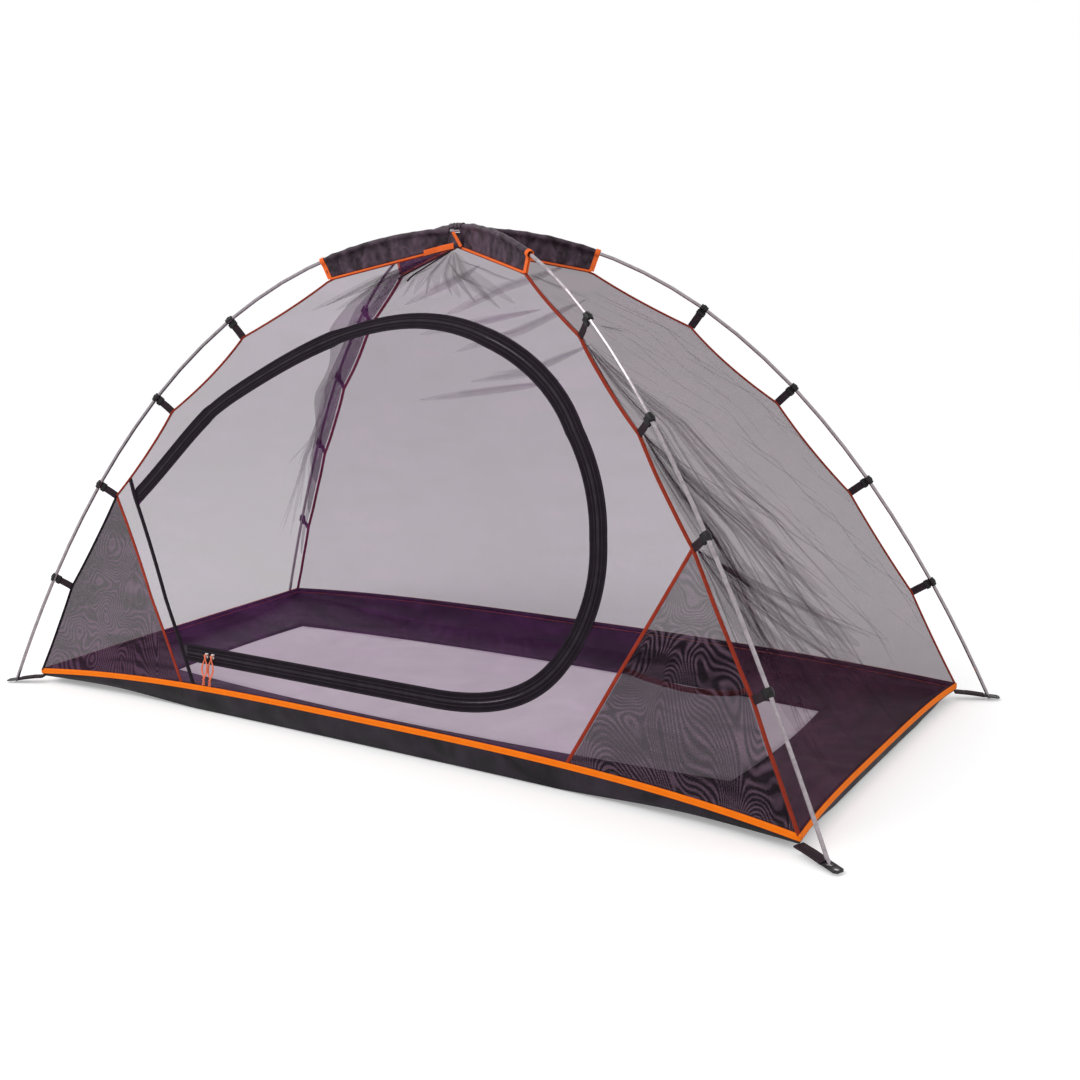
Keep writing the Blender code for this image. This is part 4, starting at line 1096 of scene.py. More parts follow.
@dataclass(frozen=True)
class TapeFinish(Finish):
    """Ribbed tape with rows of stitches along it, on the strip's own UV map."""

    thread: Colour
    rows: tuple[float, ...]
    rib: float = 0.0011
    roughness: float = 0.62
    stitch: float = 0.0034
    stitched_share: float = 0.62
    stitch_half: float = 0.00035

    def lay(self, paint: Painter) -> None:
        """Lay out the nodes.

        Args:
            paint: what lays them out.
        """
        place = paint.place()
        ribs = paint.bands(place, self.rib)
        wear = paint.noise(place, 42.0, 4.0)
        share = paint.times(paint.ranged(ribs, 0.0, 1.0, 0.7, 1.0), paint.ranged(wear, 0.3, 0.7, 0.55, 1.0))
        colour, height = paint.blend(share, self.dark, self.light), paint.times(ribs, 0.35)
        along, across = (paint.node("SeparateXYZ", {0: place}, axis) for axis in (0, 1))
        part = paint.math("FRACT", paint.math("DIVIDE", along, self.stitch))
        dash = paint.math("LESS_THAN", part, self.stitched_share)
        for row in self.rows:
            off = paint.math("ABSOLUTE", paint.math("SUBTRACT", across, row))
            seen = paint.times(paint.math("LESS_THAN", off, self.stitch_half), dash)
            colour = paint.blend(seen, colour, self.thread)
            height = paint.math("ADD", height, paint.times(seen, 0.7))
        paint.settings(base_color=colour, normal=paint.bump(height, 0.5, 0.0006), roughness=self.roughness,
                       sheen_weight=0.02, specular_ior_level=0.05)


@dataclass(frozen=True)
class MetalFinish(Finish):
    """Bright metal with fine drawn lines and small scuffs."""

    roughness: tuple[float, float]

    def lay(self, paint: Painter) -> None:
        """Lay out the nodes.

        Args:
            paint: what lays them out.
        """
        place = paint.place("Object")
        lines, scuffs = paint.noise(place, 900.0, 2.0), paint.noise(place, 90.0, 6.0, 0.8)
        paint.settings(base_color=paint.blend(paint.ranged(scuffs, 0.2, 0.8), self.dark, self.light),
                       metallic=1.0,
                       roughness=paint.ranged(paint.mean(lines, scuffs, 0.4), 0.35, 0.65, *self.roughness),
                       normal=paint.bump(lines, 0.12, 0.0002))


@dataclass(frozen=True)
class PlasticFinish(Finish):
    """Moulded plastic with a fine grain and paler worn places."""

    def lay(self, paint: Painter) -> None:
        """Lay out the nodes.

        Args:
            paint: what lays them out.
        """
        place = paint.place("Object")
        grain, wear = paint.noise(place, 1400.0, 2.0), paint.noise(place, 60.0, 5.0)
        paint.settings(base_color=paint.blend(paint.ranged(wear, 0.45, 0.75), self.dark, self.light),
                       roughness=paint.ranged(wear, 0.3, 0.7, 0.32, 0.5),
                       normal=paint.bump(grain, 0.3, 0.0003),
                       specular_ior_level=0.3)


@dataclass(frozen=True)
class CordFinish(Finish):
    """Braided cord, with its plaits crossing along the strip's UV map."""

    plait: float = 0.0016
    slant: float = 38.0

    def lay(self, paint: Painter) -> None:
        """Lay out the nodes.

        Args:
            paint: what lays them out.
        """
        first, second = (paint.bands(paint.place("UV", turn=turn), self.plait)
                         for turn in (self.slant, -self.slant))
        plaits = paint.math("MAXIMUM", first, second)
        uneven = paint.noise(paint.place(), 160.0, 3.0)
        share = paint.times(paint.ranged(plaits, 0.2, 1.0, 0.3, 1.0),
                            paint.ranged(uneven, 0.3, 0.7, 0.7, 1.0))
        paint.settings(base_color=paint.blend(share, self.dark, self.light),
                       normal=paint.bump(plaits, 0.6, 0.0005),
                       roughness=0.66, sheen_weight=0.05)


FINISHES: dict[str, Finish] = {
    # The walls' nets are one black net. Each wall's copy has thread colours set to how light that wall looks:
    # painted light on the back and left end, painted shade on the right end.
    "front_net": NetFinish("black_net_front", (0.030, 0.006, 0.032), (0.140, 0.036, 0.145), 0.36, 0.18,
                           0.036),
    "door_net": NetFinish("black_net_door", (0.026, 0.005, 0.028), (0.120, 0.028, 0.128), 0.39, 0.18, 0.036),
    "back_net": NetFinish("lit_black_net_back", (0.075, 0.015, 0.072), (0.265, 0.070, 0.252), 0.42, 0.18, 0.036),
    "left_net": NetFinish("lit_black_net_left_end", (0.072, 0.013, 0.072), (0.260, 0.062, 0.255), 0.34, 0.18,
                          0.036),
    "right_net": NetFinish("shaded_black_net_right_end", (0.027, 0.006, 0.016), (0.105, 0.028, 0.070), 0.52, 0.22,
                           0.024),
    "gusset_net": NetFinish("dark_net_gusset", (0.009, 0.003, 0.008), (0.092, 0.046, 0.082), 0.87, 0.60,
                            0.011, 0.0011),
    "corner_net": NetFinish("dark_net_corner", (0.004, 0.002, 0.004), (0.115, 0.068, 0.102), 0.74, 0.85,
                            0.012, 0.0011),
    "pocket_net": NetFinish("dark_net_pocket", (0.004, 0.002, 0.004), (0.12, 0.068, 0.10), 0.52, 0.85,
                            0.010, 0.0011),
    # The folds' nets are doubled net with darker threads than the walls' net: the doubling is real, the
    # darker threads are painted shade in the folds and bunches.
    "fold_net": NetFinish("black_net_fold_and_shade", (0.006, 0.002, 0.006), (0.045, 0.014, 0.034), 0.28),
    "pleat_net": NetFinish("black_net_pleat_and_shade", (0.014, 0.004, 0.009), (0.085, 0.026, 0.058), 0.21),
    "mist_net": NetFinish("black_net_bunch_and_shade", (0.012, 0.004, 0.013), (0.070, 0.022, 0.074), 0.41, 0.10, 0.040),
    "veil_net": NetFinish("black_net_veil_and_shade", (0.014, 0.005, 0.011), (0.085, 0.030, 0.062), 0.15, 0.20, 0.040),
    "charcoal": ClothFinish("charcoal_cloth", (0.016, 0.008, 0.014), (0.140, 0.086, 0.124), (0.34, 0.52),
                            0.05, 1.2, 26.0),
    "tub": ClothFinish("black_coated_cloth", (0.003, 0.002, 0.004), (0.038, 0.026, 0.042), (0.36, 0.60),
                       0.02, 1.4, 9.0),
    # The floor panel has a painted glow of 0.16.
    "floor": ClothFinish("light_coated_cloth", (0.80, 0.69, 0.79), (0.93, 0.83, 0.92), (0.42, 0.62), 0.05,
                         0.5, 7.0, "Object", 0.16),
    "orange_tape": TapeFinish("orange_tape", (0.86, 0.14, 0.004), (1.0, 0.215, 0.006), (1.0, 0.34, 0.05),
                              (0.0125, 0.0045)),
    "bright_orange": TapeFinish("bright_orange_tape", (0.72, 0.10, 0.014), (1.0, 0.19, 0.045),
                                (1.0, 0.32, 0.13), (0.0020,)),
    "red_tape": TapeFinish("red_binding", (0.13, 0.012, 0.007), (0.34, 0.040, 0.020), (0.42, 0.07, 0.035),
                           (0.0030,)),
    "dark_red": TapeFinish("dark_red_binding", (0.13, 0.012, 0.009), (0.32, 0.034, 0.022), (0.4, 0.1, 0.07),
                           (0.0030,)),
    "webbing": TapeFinish("black_webbing", (0.009, 0.005, 0.007), (0.042, 0.028, 0.035), (0.08, 0.055, 0.065),
                          (0.002, 0.016), 0.0016),
    "zip_tape": TapeFinish("black_zip_tape", (0.003, 0.002, 0.003), (0.016, 0.010, 0.017),
                           (0.085, 0.065, 0.088), (0.0035, 0.0150), 0.0009),
    "coil": TapeFinish("black_zip_coil", (0.004, 0.003, 0.004), (0.040, 0.033, 0.042), (0.05, 0.05, 0.05),
                       (), 0.0020, 0.38),
    "plastic": PlasticFinish("black_plastic", (0.005, 0.004, 0.005), (0.020, 0.016, 0.019)),
    "grey_plastic": PlasticFinish("grey_plastic", (0.075, 0.072, 0.078), (0.14, 0.135, 0.14)),
    "pole": MetalFinish("aluminium_pole", (0.26, 0.225, 0.245), (0.46, 0.415, 0.445), (0.12, 0.20)),
    "zip_metal": MetalFinish("zip_metal", (0.62, 0.60, 0.58), (0.85, 0.84, 0.82), (0.12, 0.28)),
    "orange_cord": CordFinish("orange_cord", (0.75, 0.12, 0.05), (1.0, 0.24, 0.11)),
    "shock_cord": CordFinish("black_elastic", (0.012, 0.012, 0.012), (0.07, 0.07, 0.07)),
}


# Sub-assemblies


@dataclass
class Dresser:
    """What every sub-assembly needs: the shape, the materials and the record of what was made."""

    shape: TentShape
    materials: dict[str, Material]
    made: list[str] = field(default_factory=list)

    def dress(self, piece: Object, finish: str, slot: str, body: Body = Body.TENT, node: str = "") -> None:
        """Give a piece its finish, its body and the node that it stands for.

        Args:
            piece: the piece.
            finish: which finish it has, if it has no material yet.
            slot: the record's material slot; not used.
            body: the body that carries it.
            node: the node that it stands for, if any.
        """
        if not piece.data.materials:
            piece.data.materials.append(self.materials[finish])
        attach(piece, body.value)
        if node:
            piece.name = f"{node}_dressed"
            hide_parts(node)
        self.made.append(piece.name)
        LOG.info("%s: %d faces on %s", piece.name, len(piece.data.polygons), body.value)

    def keep(self, node: str, finish: str) -> None:
        """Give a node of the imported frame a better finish.

        Args:
            node: the node.
            finish: its finish.
        """
        for slot in bpy.data.objects[node].material_slots:
            slot.material = self.materials[finish]
        self.made.append(node)
        LOG.info("%s: kept with a new finish", node)

    def sheet(self, piece: Object, size: Sequence[float], held: str, area: float, **more: object) -> None:
        """Take a sheet's facts, and do nothing with them.

        Args:
            piece: the sheet; not used.
            size: its flat length and width; not used.
            held: how it is held; not used.
            area: its flat area, which is cut to what its flat size holds; not used.
            more: what else is said about it; not used.
        """

    def sew(self, piece: Object, finish: str, slot: str, body: Body, node: str,
            allowance: float = 0.012) -> None:
        """Dress a sewn sheet that has its UV map in metres, after working out its flat size and area.

        Args:
            piece: the sheet.
            finish: which finish it has.
            slot: the record's material slot.
            body: the body that carries it.
            node: the node that it stands for.
            allowance: the cloth that is turned in along each edge.
        """
        work = bmesh.new()
        work.from_mesh(piece.data)
        rim = sum(edge.calc_length() for edge in work.edges if edge.is_boundary)
        work.free()
        self.sheet(piece, uv_size(piece) + 2 * allowance, "stretched", mesh_area(piece) + rim * allowance)
        self.dress(piece, finish, slot, body, node)


def uv_size(piece: Object) -> Array:
    """How long and wide a piece's UV map is."""
    return np.ptp(np.array([tuple(loop.uv) for loop in piece.data.uv_layers[0].data]), axis=0)


@dataclass
class DoorCut:
    """The flat outlines of the doorway and the door on the front wall."""

    shape: TentShape
    overlap: float = 0.015
    hinge_half: float = 0.0063
    step: float = 0.016

    def hinge_direction(self) -> Array:
        """The direction of the hinge line, going up."""
        return unit(np.array(self.shape.hinge_head) - np.array(self.shape.hinge_foot))

    def beside(self, point: Flat, distance: float) -> Flat:
        """A flat point moved square to the hinge line, towards the door."""
        run = self.hinge_direction()
        return point[0] + run[1] * distance, point[1] - run[0] * distance

    def from_hinge(self, point: Flat) -> float:
        """How far a flat point is from the hinge line, positive on the door's side."""
        run, foot = self.hinge_direction(), self.shape.hinge_foot
        return (point[0] - foot[0]) * run[1] - (point[1] - foot[1]) * run[0]

    def doorway(self) -> list[Flat]:
        """The hole in the front wall.

        Returns:
            Its flat outline.
        """
        outer = offset(self.shape.door_line(self.step), self.overlap)
        top = self.beside(self.shape.hinge_head, -self.hinge_half)
        foot = self.beside(self.shape.hinge_foot, -self.hinge_half)
        return outer + resample([top, foot], self.step)

    def panel(self) -> list[Flat]:
        """The door's outline.

        Returns:
            Its flat points.
        """
        path = offset(self.shape.door_line(self.step), -self.overlap)
        kept: list[Flat] = []
        for here, there in zip(path, path[1:]):
            low, high = self.from_hinge(here) - self.hinge_half, self.from_hinge(there) - self.hinge_half
            if low > 0:
                kept.append(here)
            if (low > 0) != (high > 0):
                share = low / (low - high)
                kept.append((here[0] + (there[0] - here[0]) * share, here[1] + (there[1] - here[1]) * share))
        return kept + resample([kept[-1], kept[0]], self.step)[1:-1]


def wall_edge(wall: Wall, low: float, high: float, high_side: bool, step: float = 0.016,
              inset: float = 0.0008) -> list[Flat]:
    """The cloth's edge inside a corner binding, going up.

    Args:
        wall: the wall.
        low: the lowest height.
        high: the highest height.
        high_side: which of its two seams.
        step: the spacing of the points.
        inset: how far inside the seam the cloth stops.

    Returns:
        Flat points.
    """
    count = max(2, int(math.ceil((high - low) / step)))
    heights = [low + (high - low) * share / count for share in range(count + 1)]
    return [(wall.edge(height, high_side) + (-inset if high_side else inset), height) for height in heights]


def crease_field(along: Array, heights: Array, room: Array, seed: float, size: float,
                 fade: float = 0.05) -> Array:
    """Soft creases that fade out at the cloth's edges, in metres."""
    share = np.clip(room / fade, 0.0, 1.0)
    return ripple(along * 11.0, heights * 7.0, seed) * size * share * share * (3 - 2 * share)


@dataclass
class NetBody(Dresser):
    """The four see-through walls and the two dark gussets of the front one."""

    mesh_size: float = 0.024
    gusset_mesh_size: float = 0.014
    top: float = 1.0550
    edge_step: float = 0.018
    hem_stops: int = 60
    pull_height: float = 0.0022
    pull_fade: float = 0.05
    seam_pleat_height: float = 0.0030
    gusset_foot_height: float = 0.066
    gusset_gap: float = 0.0008
    gusset_tip_gap: float = 0.006
    front_allowance: float = 0.020

    def hem(self, wall: Wall, start: float, end: float, count: int) -> list[Flat]:
        """Flat places along the hem tape's middle, in even steps."""
        return [(stop, self.shape.hem_height(wall, stop))
                for stop in map(float, np.linspace(start, end, count))]

    def plain_wall(self, name: str, wall: Wall, finish: str, seed: float, crease: float) -> None:
        """Make one whole wall, from hem to peak.

        Args:
            name: the node's name.
            wall: its surface.
            finish: its net.
            seed: which creases it has.
            crease: how deep they are.
        """
        low = self.shape.hem_corner_height
        up, down = wall_edge(wall, low, self.top, True), wall_edge(wall, low, self.top, False)[::-1]
        base = self.hem(wall, down[-1][0], up[0][0], self.hem_stops)[1:-1]

        def relief(along: Array, heights: Array, room: Array) -> Array:
            """Creases, and pleats that fan out from the seams' straps.

            Args:
                along: places along the wall.
                heights: their heights.
                room: how far each is from the nearest edge.

            Returns:
                How far the cloth stands out at each place.
            """
            soft = crease_field(along, heights, room, seed, crease)
            fans = np.sin(heights * 62.0 + along * 14.0 + seed)
            pull = np.exp(-room / self.pull_fade) * fans * self.pull_height
            return soft + pull * np.clip(room / 0.012, 0.0, 1.0)

        piece = net_sheet(name, wall, base + up + down, [], self.mesh_size, relief)
        self.sew(piece, finish, "black_net", Body.TENT, name)

    def front_wall(self) -> None:
        """Make the front wall round the doorway."""
        wall, shape = self.shape.front, self.shape
        up = wall_edge(wall, shape.gusset_top(1), self.top, True)
        down = wall_edge(wall, shape.gusset_top(-1), self.top, False)[::-1]
        base = self.hem(wall, -shape.gusset_foot_along, shape.gusset_foot_along, self.hem_stops)
        right = resample([base[-1], up[0]], self.edge_step)[1:-1]
        left = resample([down[-1], base[0]], self.edge_step)[1:-1]

        def relief(along: Array, heights: Array, room: Array) -> Array:
            """Creases round the doorway, deepest beside the right-hand seam.

            Args:
                along: places along the wall.
                heights: their heights.
                room: how far each is from the nearest edge.

            Returns:
                How far the cloth stands out at each place.
            """
            soft = crease_field(along, heights, room, 2.0, 0.0030, 0.03)
            near = np.clip((along - 0.35) / 0.2, 0.0, 1.0) * np.clip(room / 0.02, 0.0, 1.0)
            return soft + near * np.sin(along * 52.0 + heights * 36.0) * self.seam_pleat_height

        outline, doorway = base + right + up + down + left, DoorCut(shape).doorway()
        piece = net_sheet("front_net_wall", wall, outline, [doorway], self.mesh_size, relief)
        self.sew(piece, "front_net", "black_net", Body.TENT, "front_net_wall", self.front_allowance)

    def gusset(self, side: int, name: str, finish: str) -> None:
        """Make one dark corner gusset, between the hem, the corner seam and its own seam.

        Args:
            side: 1 for the right-hand one, -1 for the left-hand one.
            name: the node's name.
            finish: its net.
        """
        shape, wall = self.shape, self.shape.front
        tip = shape.gusset_top(side) - self.gusset_tip_gap
        rise = wall_edge(wall, shape.hem_corner_height, tip, side > 0)
        heights = map(float, np.linspace(tip, self.gusset_foot_height, 26))
        line = [(shape.gusset_line(side, height) + side * self.gusset_gap, height) for height in heights]
        outline = self.hem(wall, side * shape.gusset_foot_along, rise[0][0], 20)[1:-1] + rise + line

        def relief(along: Array, heights: Array, room: Array) -> Array:
            """Slack creases that hang from the gusset's top.

            Args:
                along: places along the wall.
                heights: their heights.
                room: how far each is from the nearest edge.

            Returns:
                How far the cloth stands out at each place.
            """
            return crease_field(along * 2.2, heights, room, 5.0 + side, 0.0028, 0.03)

        piece = net_sheet(name, wall, outline[::side], [], self.gusset_mesh_size, relief)
        self.sew(piece, finish, "dark_net", Body.TENT, name)

    def build(self) -> None:
        """Make all the walls."""
        shape = self.shape
        self.plain_wall("back_net_wall", shape.back, "back_net", 1.0, 0.0045)
        self.plain_wall("left_net_wall", shape.left_end, "left_net", 3.0, 0.0035)
        self.plain_wall("right_net_wall", shape.right_end, "right_net", 4.0, 0.0055)
        self.front_wall()
        self.gusset(-1, "left_gusset_net", "gusset_net")
        self.gusset(1, "right_gusset_net", "corner_net")


@dataclass
class Folds(Dresser):
    """Tension folds and bunched net, as narrow strips of doubled net on the walls, with darker threads than
    the walls' net as painted shade in the folds.
    """

    lift: float = 0.0014
    crest: float = 0.0022
    clearance: float = 0.007
    zip_clearance: float = 0.026
    least_fullness: float = 0.31
    fan_foot: float = 0.042
    crinkle_count: int = 90
    crinkle_slope: float = -0.85
    crinkle_seed: float = 0.4
    bunch_head: float = 1.030
    bunch_widths: tuple[float, ...] = (0.150, 0.095, 0.050)
    bunch_feet: tuple[float, ...] = (0.400, 0.300, 0.160)
    back_lines: tuple[tuple[Flat, ...], ...] = (
        ((0.239, 0.931), (0.0, 0.850), (-0.188, 0.803)), ((0.263, 1.018), (0.0, 0.956), (-0.200, 0.890)),
        ((0.213, 0.824), (0.0, 0.749), (-0.171, 0.724)), ((0.103, 0.736), (0.0, 0.717), (-0.355, 0.670)),
        ((0.0, 1.016), (-0.194, 0.956), (-0.292, 0.924)), ((0.106, 0.909), (-0.084, 0.880), (-0.285, 0.847)))
    right_lines: tuple[tuple[Flat, ...], ...] = (
        ((-0.165, 0.964), (-0.246, 0.790), (-0.245, 0.714)), ((-0.188, 0.854), (-0.159, 0.773)),
        ((-0.202, 0.855), (-0.198, 0.795), (-0.187, 0.736)),
        ((-0.218, 0.846), (-0.250, 0.781), (-0.278, 0.727), (-0.293, 0.682)),
        ((-0.206, 0.841), (-0.172, 0.744), (-0.170, 0.534), (-0.097, 0.425)),
        ((-0.272, 0.695), (-0.236, 0.600), (-0.241, 0.490), (-0.191, 0.368), (-0.163, 0.269)),
        ((-0.285, 0.685), (-0.288, 0.608), (-0.294, 0.536), (-0.305, 0.466)),
        ((-0.275, 0.680), (-0.261, 0.530), (-0.243, 0.398), (-0.253, 0.273)),
        ((-0.344, 0.488), (-0.348, 0.420), (-0.370, 0.337), (-0.395, 0.257)),
        ((-0.326, 0.491), (-0.279, 0.387), (-0.253, 0.273)), ((-0.124, 0.623), (0.059, 0.436)),
        ((-0.087, 0.886), (-0.036, 0.869)), ((-0.109, 0.994), (0.0, 0.937)),
        ((-0.270, 0.690), (-0.150, 0.520), (-0.020, 0.360), (0.150, 0.210)),
        ((-0.345, 0.480), (-0.200, 0.330), (-0.030, 0.200), (0.180, 0.110)),
        ((-0.200, 0.850), (-0.110, 0.720), (-0.040, 0.560), (0.020, 0.400)))
    front_lines: tuple[tuple[Flat, ...], ...] = (
        ((0.0, 1.037), (0.004, 0.995), (-0.012, 0.968)), ((0.0, 1.023), (-0.100, 0.962)),
        ((0.010, 1.030), (0.110, 0.985), (0.190, 0.960)), ((-0.020, 1.030), (-0.180, 0.965), (-0.300, 0.925)),
        ((0.030, 1.032), (0.150, 1.005), (0.260, 0.975)))
    right_straps: tuple[Flat, ...] = ((-0.345, 0.490), (-0.275, 0.690), (-0.205, 0.850))

    def held_in(self, wall: Wall, path: Sequence[Flat]) -> list[Flat]:
        """A fold's line, kept off the wall's seams.

        Args:
            wall: the wall.
            path: the fold's flat points.

        Returns:
            Its new flat points.
        """
        kept = []
        for along, height in resample(path, 0.012):
            low, high = wall.edge(height, False) + self.clearance, wall.edge(height, True) - self.clearance
            kept.append((min(max(along, low), high), height))
        return kept

    def families(self, paths: Sequence[Sequence[Flat]], count: int, spread: float,
                 turn: float) -> list[list[Flat]]:
        """Folds, each with its smaller neighbours, which fan out from where it starts.

        Args:
            paths: the folds' lines.
            count: how many folds each family has.
            spread: how far apart they end.
            turn: how unlike one family is to the next.

        Returns:
            Their lines.
        """
        lines = []
        for order, path in enumerate(paths):
            seed, (start, head) = order * turn, path[0]
            lines.append(list(path))
            for number in range(1, count):
                aside = spread * (number - count / 2) * (1.0 + 0.35 * math.sin(seed + number * 2.3))
                reach = 0.62 + 0.30 * abs(math.sin(seed * 1.7 + number))
                lines.append([(start + (x - start) * reach + aside * share, head + (z - head) * reach)
                              for share, (x, z) in zip(np.linspace(0.0, 1.0, len(path)), path)])
        return lines

    def fan(self, starts: Sequence[Flat], low: float, high: float, count: int,
            seed: float) -> list[list[Flat]]:
        """Pleats that spread from the straps of a seam to the hem.

        Args:
            starts: where they start.
            low: where the first one of each fan ends along the hem.
            high: where the last one ends.
            count: how many each fan has.
            seed: which way they wander.

        Returns:
            Their lines.
        """
        lines = []
        for turn, (along, height) in enumerate(starts):
            for number in range(count):
                share = (number + 0.5 + 0.4 * math.sin(seed + number * 2.1 + turn)) / count
                far = low + (high - low) * max(share, 0.0) ** 1.5
                drop = (height - self.fan_foot) * (1.0 - 0.45 * abs(math.sin(number * 1.9 + seed + turn)))
                bow = 0.030 * math.sin(seed * 2.0 + number * 0.7)
                lines.append([(along + (far - along) * part + bow * math.sin(math.pi * part),
                               height - drop * part)
                              for part in np.linspace(0.0, 1.0, 9)])
        return lines

    def strip(self, name: str, wall: Wall, path: Sequence[Flat], width: float, lift: float,
              clear: Optional[Array] = None) -> Optional[Object]:
        """One low ridge of net that narrows to both its ends.

        Args:
            name: the strip's name.
            wall: the wall that it lies on.
            path: its line.
            width: how wide it is in its middle.
            lift: how far its edges stand off the wall.
            clear: a loop that it keeps out of.

        Returns:
            The strip, or nothing if no part of its line is clear.
        """
        line = np.array(self.held_in(wall, path))
        if clear is not None:
            line = line[~inside(line, clear) & (loop_distance(line, clear) > self.zip_clearance + width / 2)]
        if len(line) < 3:
            return None
        places, out = wall_line(wall, line, lift)
        sideways, outward = line_frames(places, out)
        wide = width * (0.12 + 0.88 * np.sin(math.pi * np.linspace(0.0, 1.0, len(line))) ** 0.8)
        points, uvs = [], []
        for place, side, away, span, run in zip(places, sideways, outward, wide, runs_along(places)):
            for across, rise in ((-0.5, 0.0), (-0.2, 1.0), (0.2, 1.0), (0.5, 0.0)):
                points.append(place + side * span * across + away * min(self.crest, span * 0.25) * rise)
                uvs.append((run, width * across))
        return add_mesh(name, points, grid_faces(len(line), 4), uvs, 80.0)

    def group(self, name: str, wall: Wall, lines: Sequence[Sequence[Flat]], widths: Sequence[float],
              finish: str, lift: float, clear: Optional[Array] = None) -> None:
        """Make one wall's folds of one kind as one piece.

        Args:
            name: the piece's name.
            wall: the wall.
            lines: the folds' lines.
            widths: the widths that they take in turn.
            finish: their net.
            lift: how far they stand off the wall, in steps of the least lift.
            clear: a loop that they keep out of.
        """
        strips = [self.strip(f"{name}_{number}", wall, line, widths[number % len(widths)], self.lift * lift,
                             clear)
                  for number, line in enumerate(lines)]
        strips = [strip for strip in strips if strip]
        sizes = np.array([uv_size(strip) for strip in strips])
        size = (float(sizes[:, 0].max()), float(sizes[:, 1].sum()))
        piece = join_pieces(name, strips)
        self.sheet(piece, size, "gathered", max(mesh_area(piece), self.least_fullness * size[0] * size[1]))
        self.dress(piece, finish, "black_net")

    def crinkles(self, wall: Wall) -> list[list[Flat]]:
        """The lines of short, fine creases scattered over a wall.

        Args:
            wall: the wall.

        Returns:
            Three flat points per crease.
        """
        lines, seed = [], self.crinkle_seed
        for number in range(self.crinkle_count):
            height = 0.18 + 0.74 * ((number * 0.618 + seed) % 1.0)
            low, high = wall.edge(height, False), wall.edge(height, True)
            along = low + (high - low) * ((number * 0.754 + seed * 0.37) % 1.0)
            reach = 0.04 + 0.07 * abs(math.sin(number * 1.3))
            turn = self.crinkle_slope + 0.35 * math.sin(number * 2.1 + seed)
            over, up, bow = math.cos(turn) * reach, math.sin(turn) * reach, 0.008 * math.sin(number * 1.7)
            lines.append([(along - over, height - up), (along - bow, height + bow),
                          (along + over, height + up)])
        return lines

    def right_end(self) -> None:
        """Make the right end's folds, and the pleats that fan from its front straps."""
        wall, straps = self.shape.right_end, self.right_straps
        lines = self.families(self.right_lines, 4, 0.026, 1.3)
        self.group("right_end_folds", wall, lines, (0.0046, 0.0024, 0.0032, 0.0020), "fold_net", 1.0)
        pleats = self.fan(straps, -0.31, 0.24, 16, 0.6)
        self.group("right_end_pleats", wall, pleats, (0.013, 0.007, 0.010, 0.006), "pleat_net", 2.0)
        self.group("right_end_crinkles", wall, self.crinkles(wall), (0.0034, 0.0020, 0.0052, 0.0028),
                   "veil_net", 0.7)
        gathers = self.fan(straps[1::-1], -0.30, 0.20, 5, 1.9)
        self.group("right_end_gathers", wall, gathers, (0.070, 0.045, 0.058), "veil_net", 3.2)

    def front(self) -> None:
        """Make the front wall's folds and the gathers that hang from its peak."""
        wall, clear, head = self.shape.front, np.array(DoorCut(self.shape).doorway()), 1.045
        lines = self.families(self.front_lines, 3, 0.014, 0.9)
        self.group("front_folds", wall, lines, (0.0034, 0.0020, 0.0027), "fold_net", 1.0, clear)
        fans = []
        for number, far in enumerate(map(float, np.linspace(-0.30, 0.26, 17))):
            foot = 0.955 - 0.10 * abs(far) + 0.008 * math.sin(number * 2.4)
            fans.append([(far * 0.06, head), (far * 0.5, (head + foot) / 2 + 0.004), (far, foot)])
        self.group("front_gathers", wall, fans, (0.020, 0.012, 0.026, 0.016), "veil_net", 2.2, clear)
        self.group("front_pleats", wall, fans[1::2], (0.010, 0.006), "pleat_net", 3.0, clear)

    def back(self) -> None:
        """Make the back wall's wide, soft folds."""
        lines = self.families(self.back_lines, 3, 0.030, 1.7)
        self.group("back_folds", self.shape.back, lines, (0.024, 0.010, 0.016), "veil_net", 1.0)

    def bunch(self, name: str, width: float, foot: float, lift: float) -> None:
        """One layer of the net that is bunched against the back left seam, with darker threads as painted
        shade.

        Args:
            name: the piece's name.
            width: how far the layer reaches from the seam.
            foot: the height where it ends.
            lift: how far it stands off the wall.
        """
        wall, rows, columns, points, uvs = self.shape.left_end, 40, 7, [], []
        for row in range(rows):
            share = row / (rows - 1)
            height = self.bunch_head + (foot - self.bunch_head) * share
            reach = width * min(share * 5.0 + 0.25, 1.0) * (1.0 - share) ** 0.6 + 0.004
            reach *= 1.0 + 0.10 * math.sin(height * 31.0 + width * 40.0)
            edge = wall.edge(height, True) - self.clearance
            room = edge - wall.edge(height, False) - self.clearance
            for column in range(columns):
                inwards = min(reach, room) * column / (columns - 1)
                points.append(wall.point(edge - inwards, height) + wall.normal(edge - inwards, height) * lift)
                uvs.append((inwards, height))
        piece = add_mesh(name, points, grid_faces(rows, columns), uvs)
        self.sheet(piece, np.ptp(np.array(uvs), axis=0), "gathered", mesh_area(piece))
        self.dress(piece, "mist_net", "black_net")

    def left_end(self) -> None:
        """Make the bunched net beside the back left seam, and the gathers that fall beside it."""
        wall, lines = self.shape.left_end, []
        for number in range(9):
            head, foot = 1.000 - 0.045 * number, 0.360 + 0.14 * math.sin(number * 1.7)
            start, end = wall.edge(head, True) - 0.012, wall.edge(foot, True) - 0.030 - 0.014 * number
            lines.append([(start + (end - start) * part ** 1.3, head + (foot - head) * part)
                          for part in np.linspace(0, 1, 8)])
        self.group("left_end_gathers", wall, lines, (0.020, 0.010, 0.015), "veil_net", 4.0)
        for number, (width, foot) in enumerate(zip(self.bunch_widths, self.bunch_feet), 1):
            self.bunch(f"left_end_bunch_{number}", width, foot, self.lift * number)

    def build(self) -> None:
        """Make all the folds."""
        self.right_end()
        self.front()
        self.back()
        self.left_end()


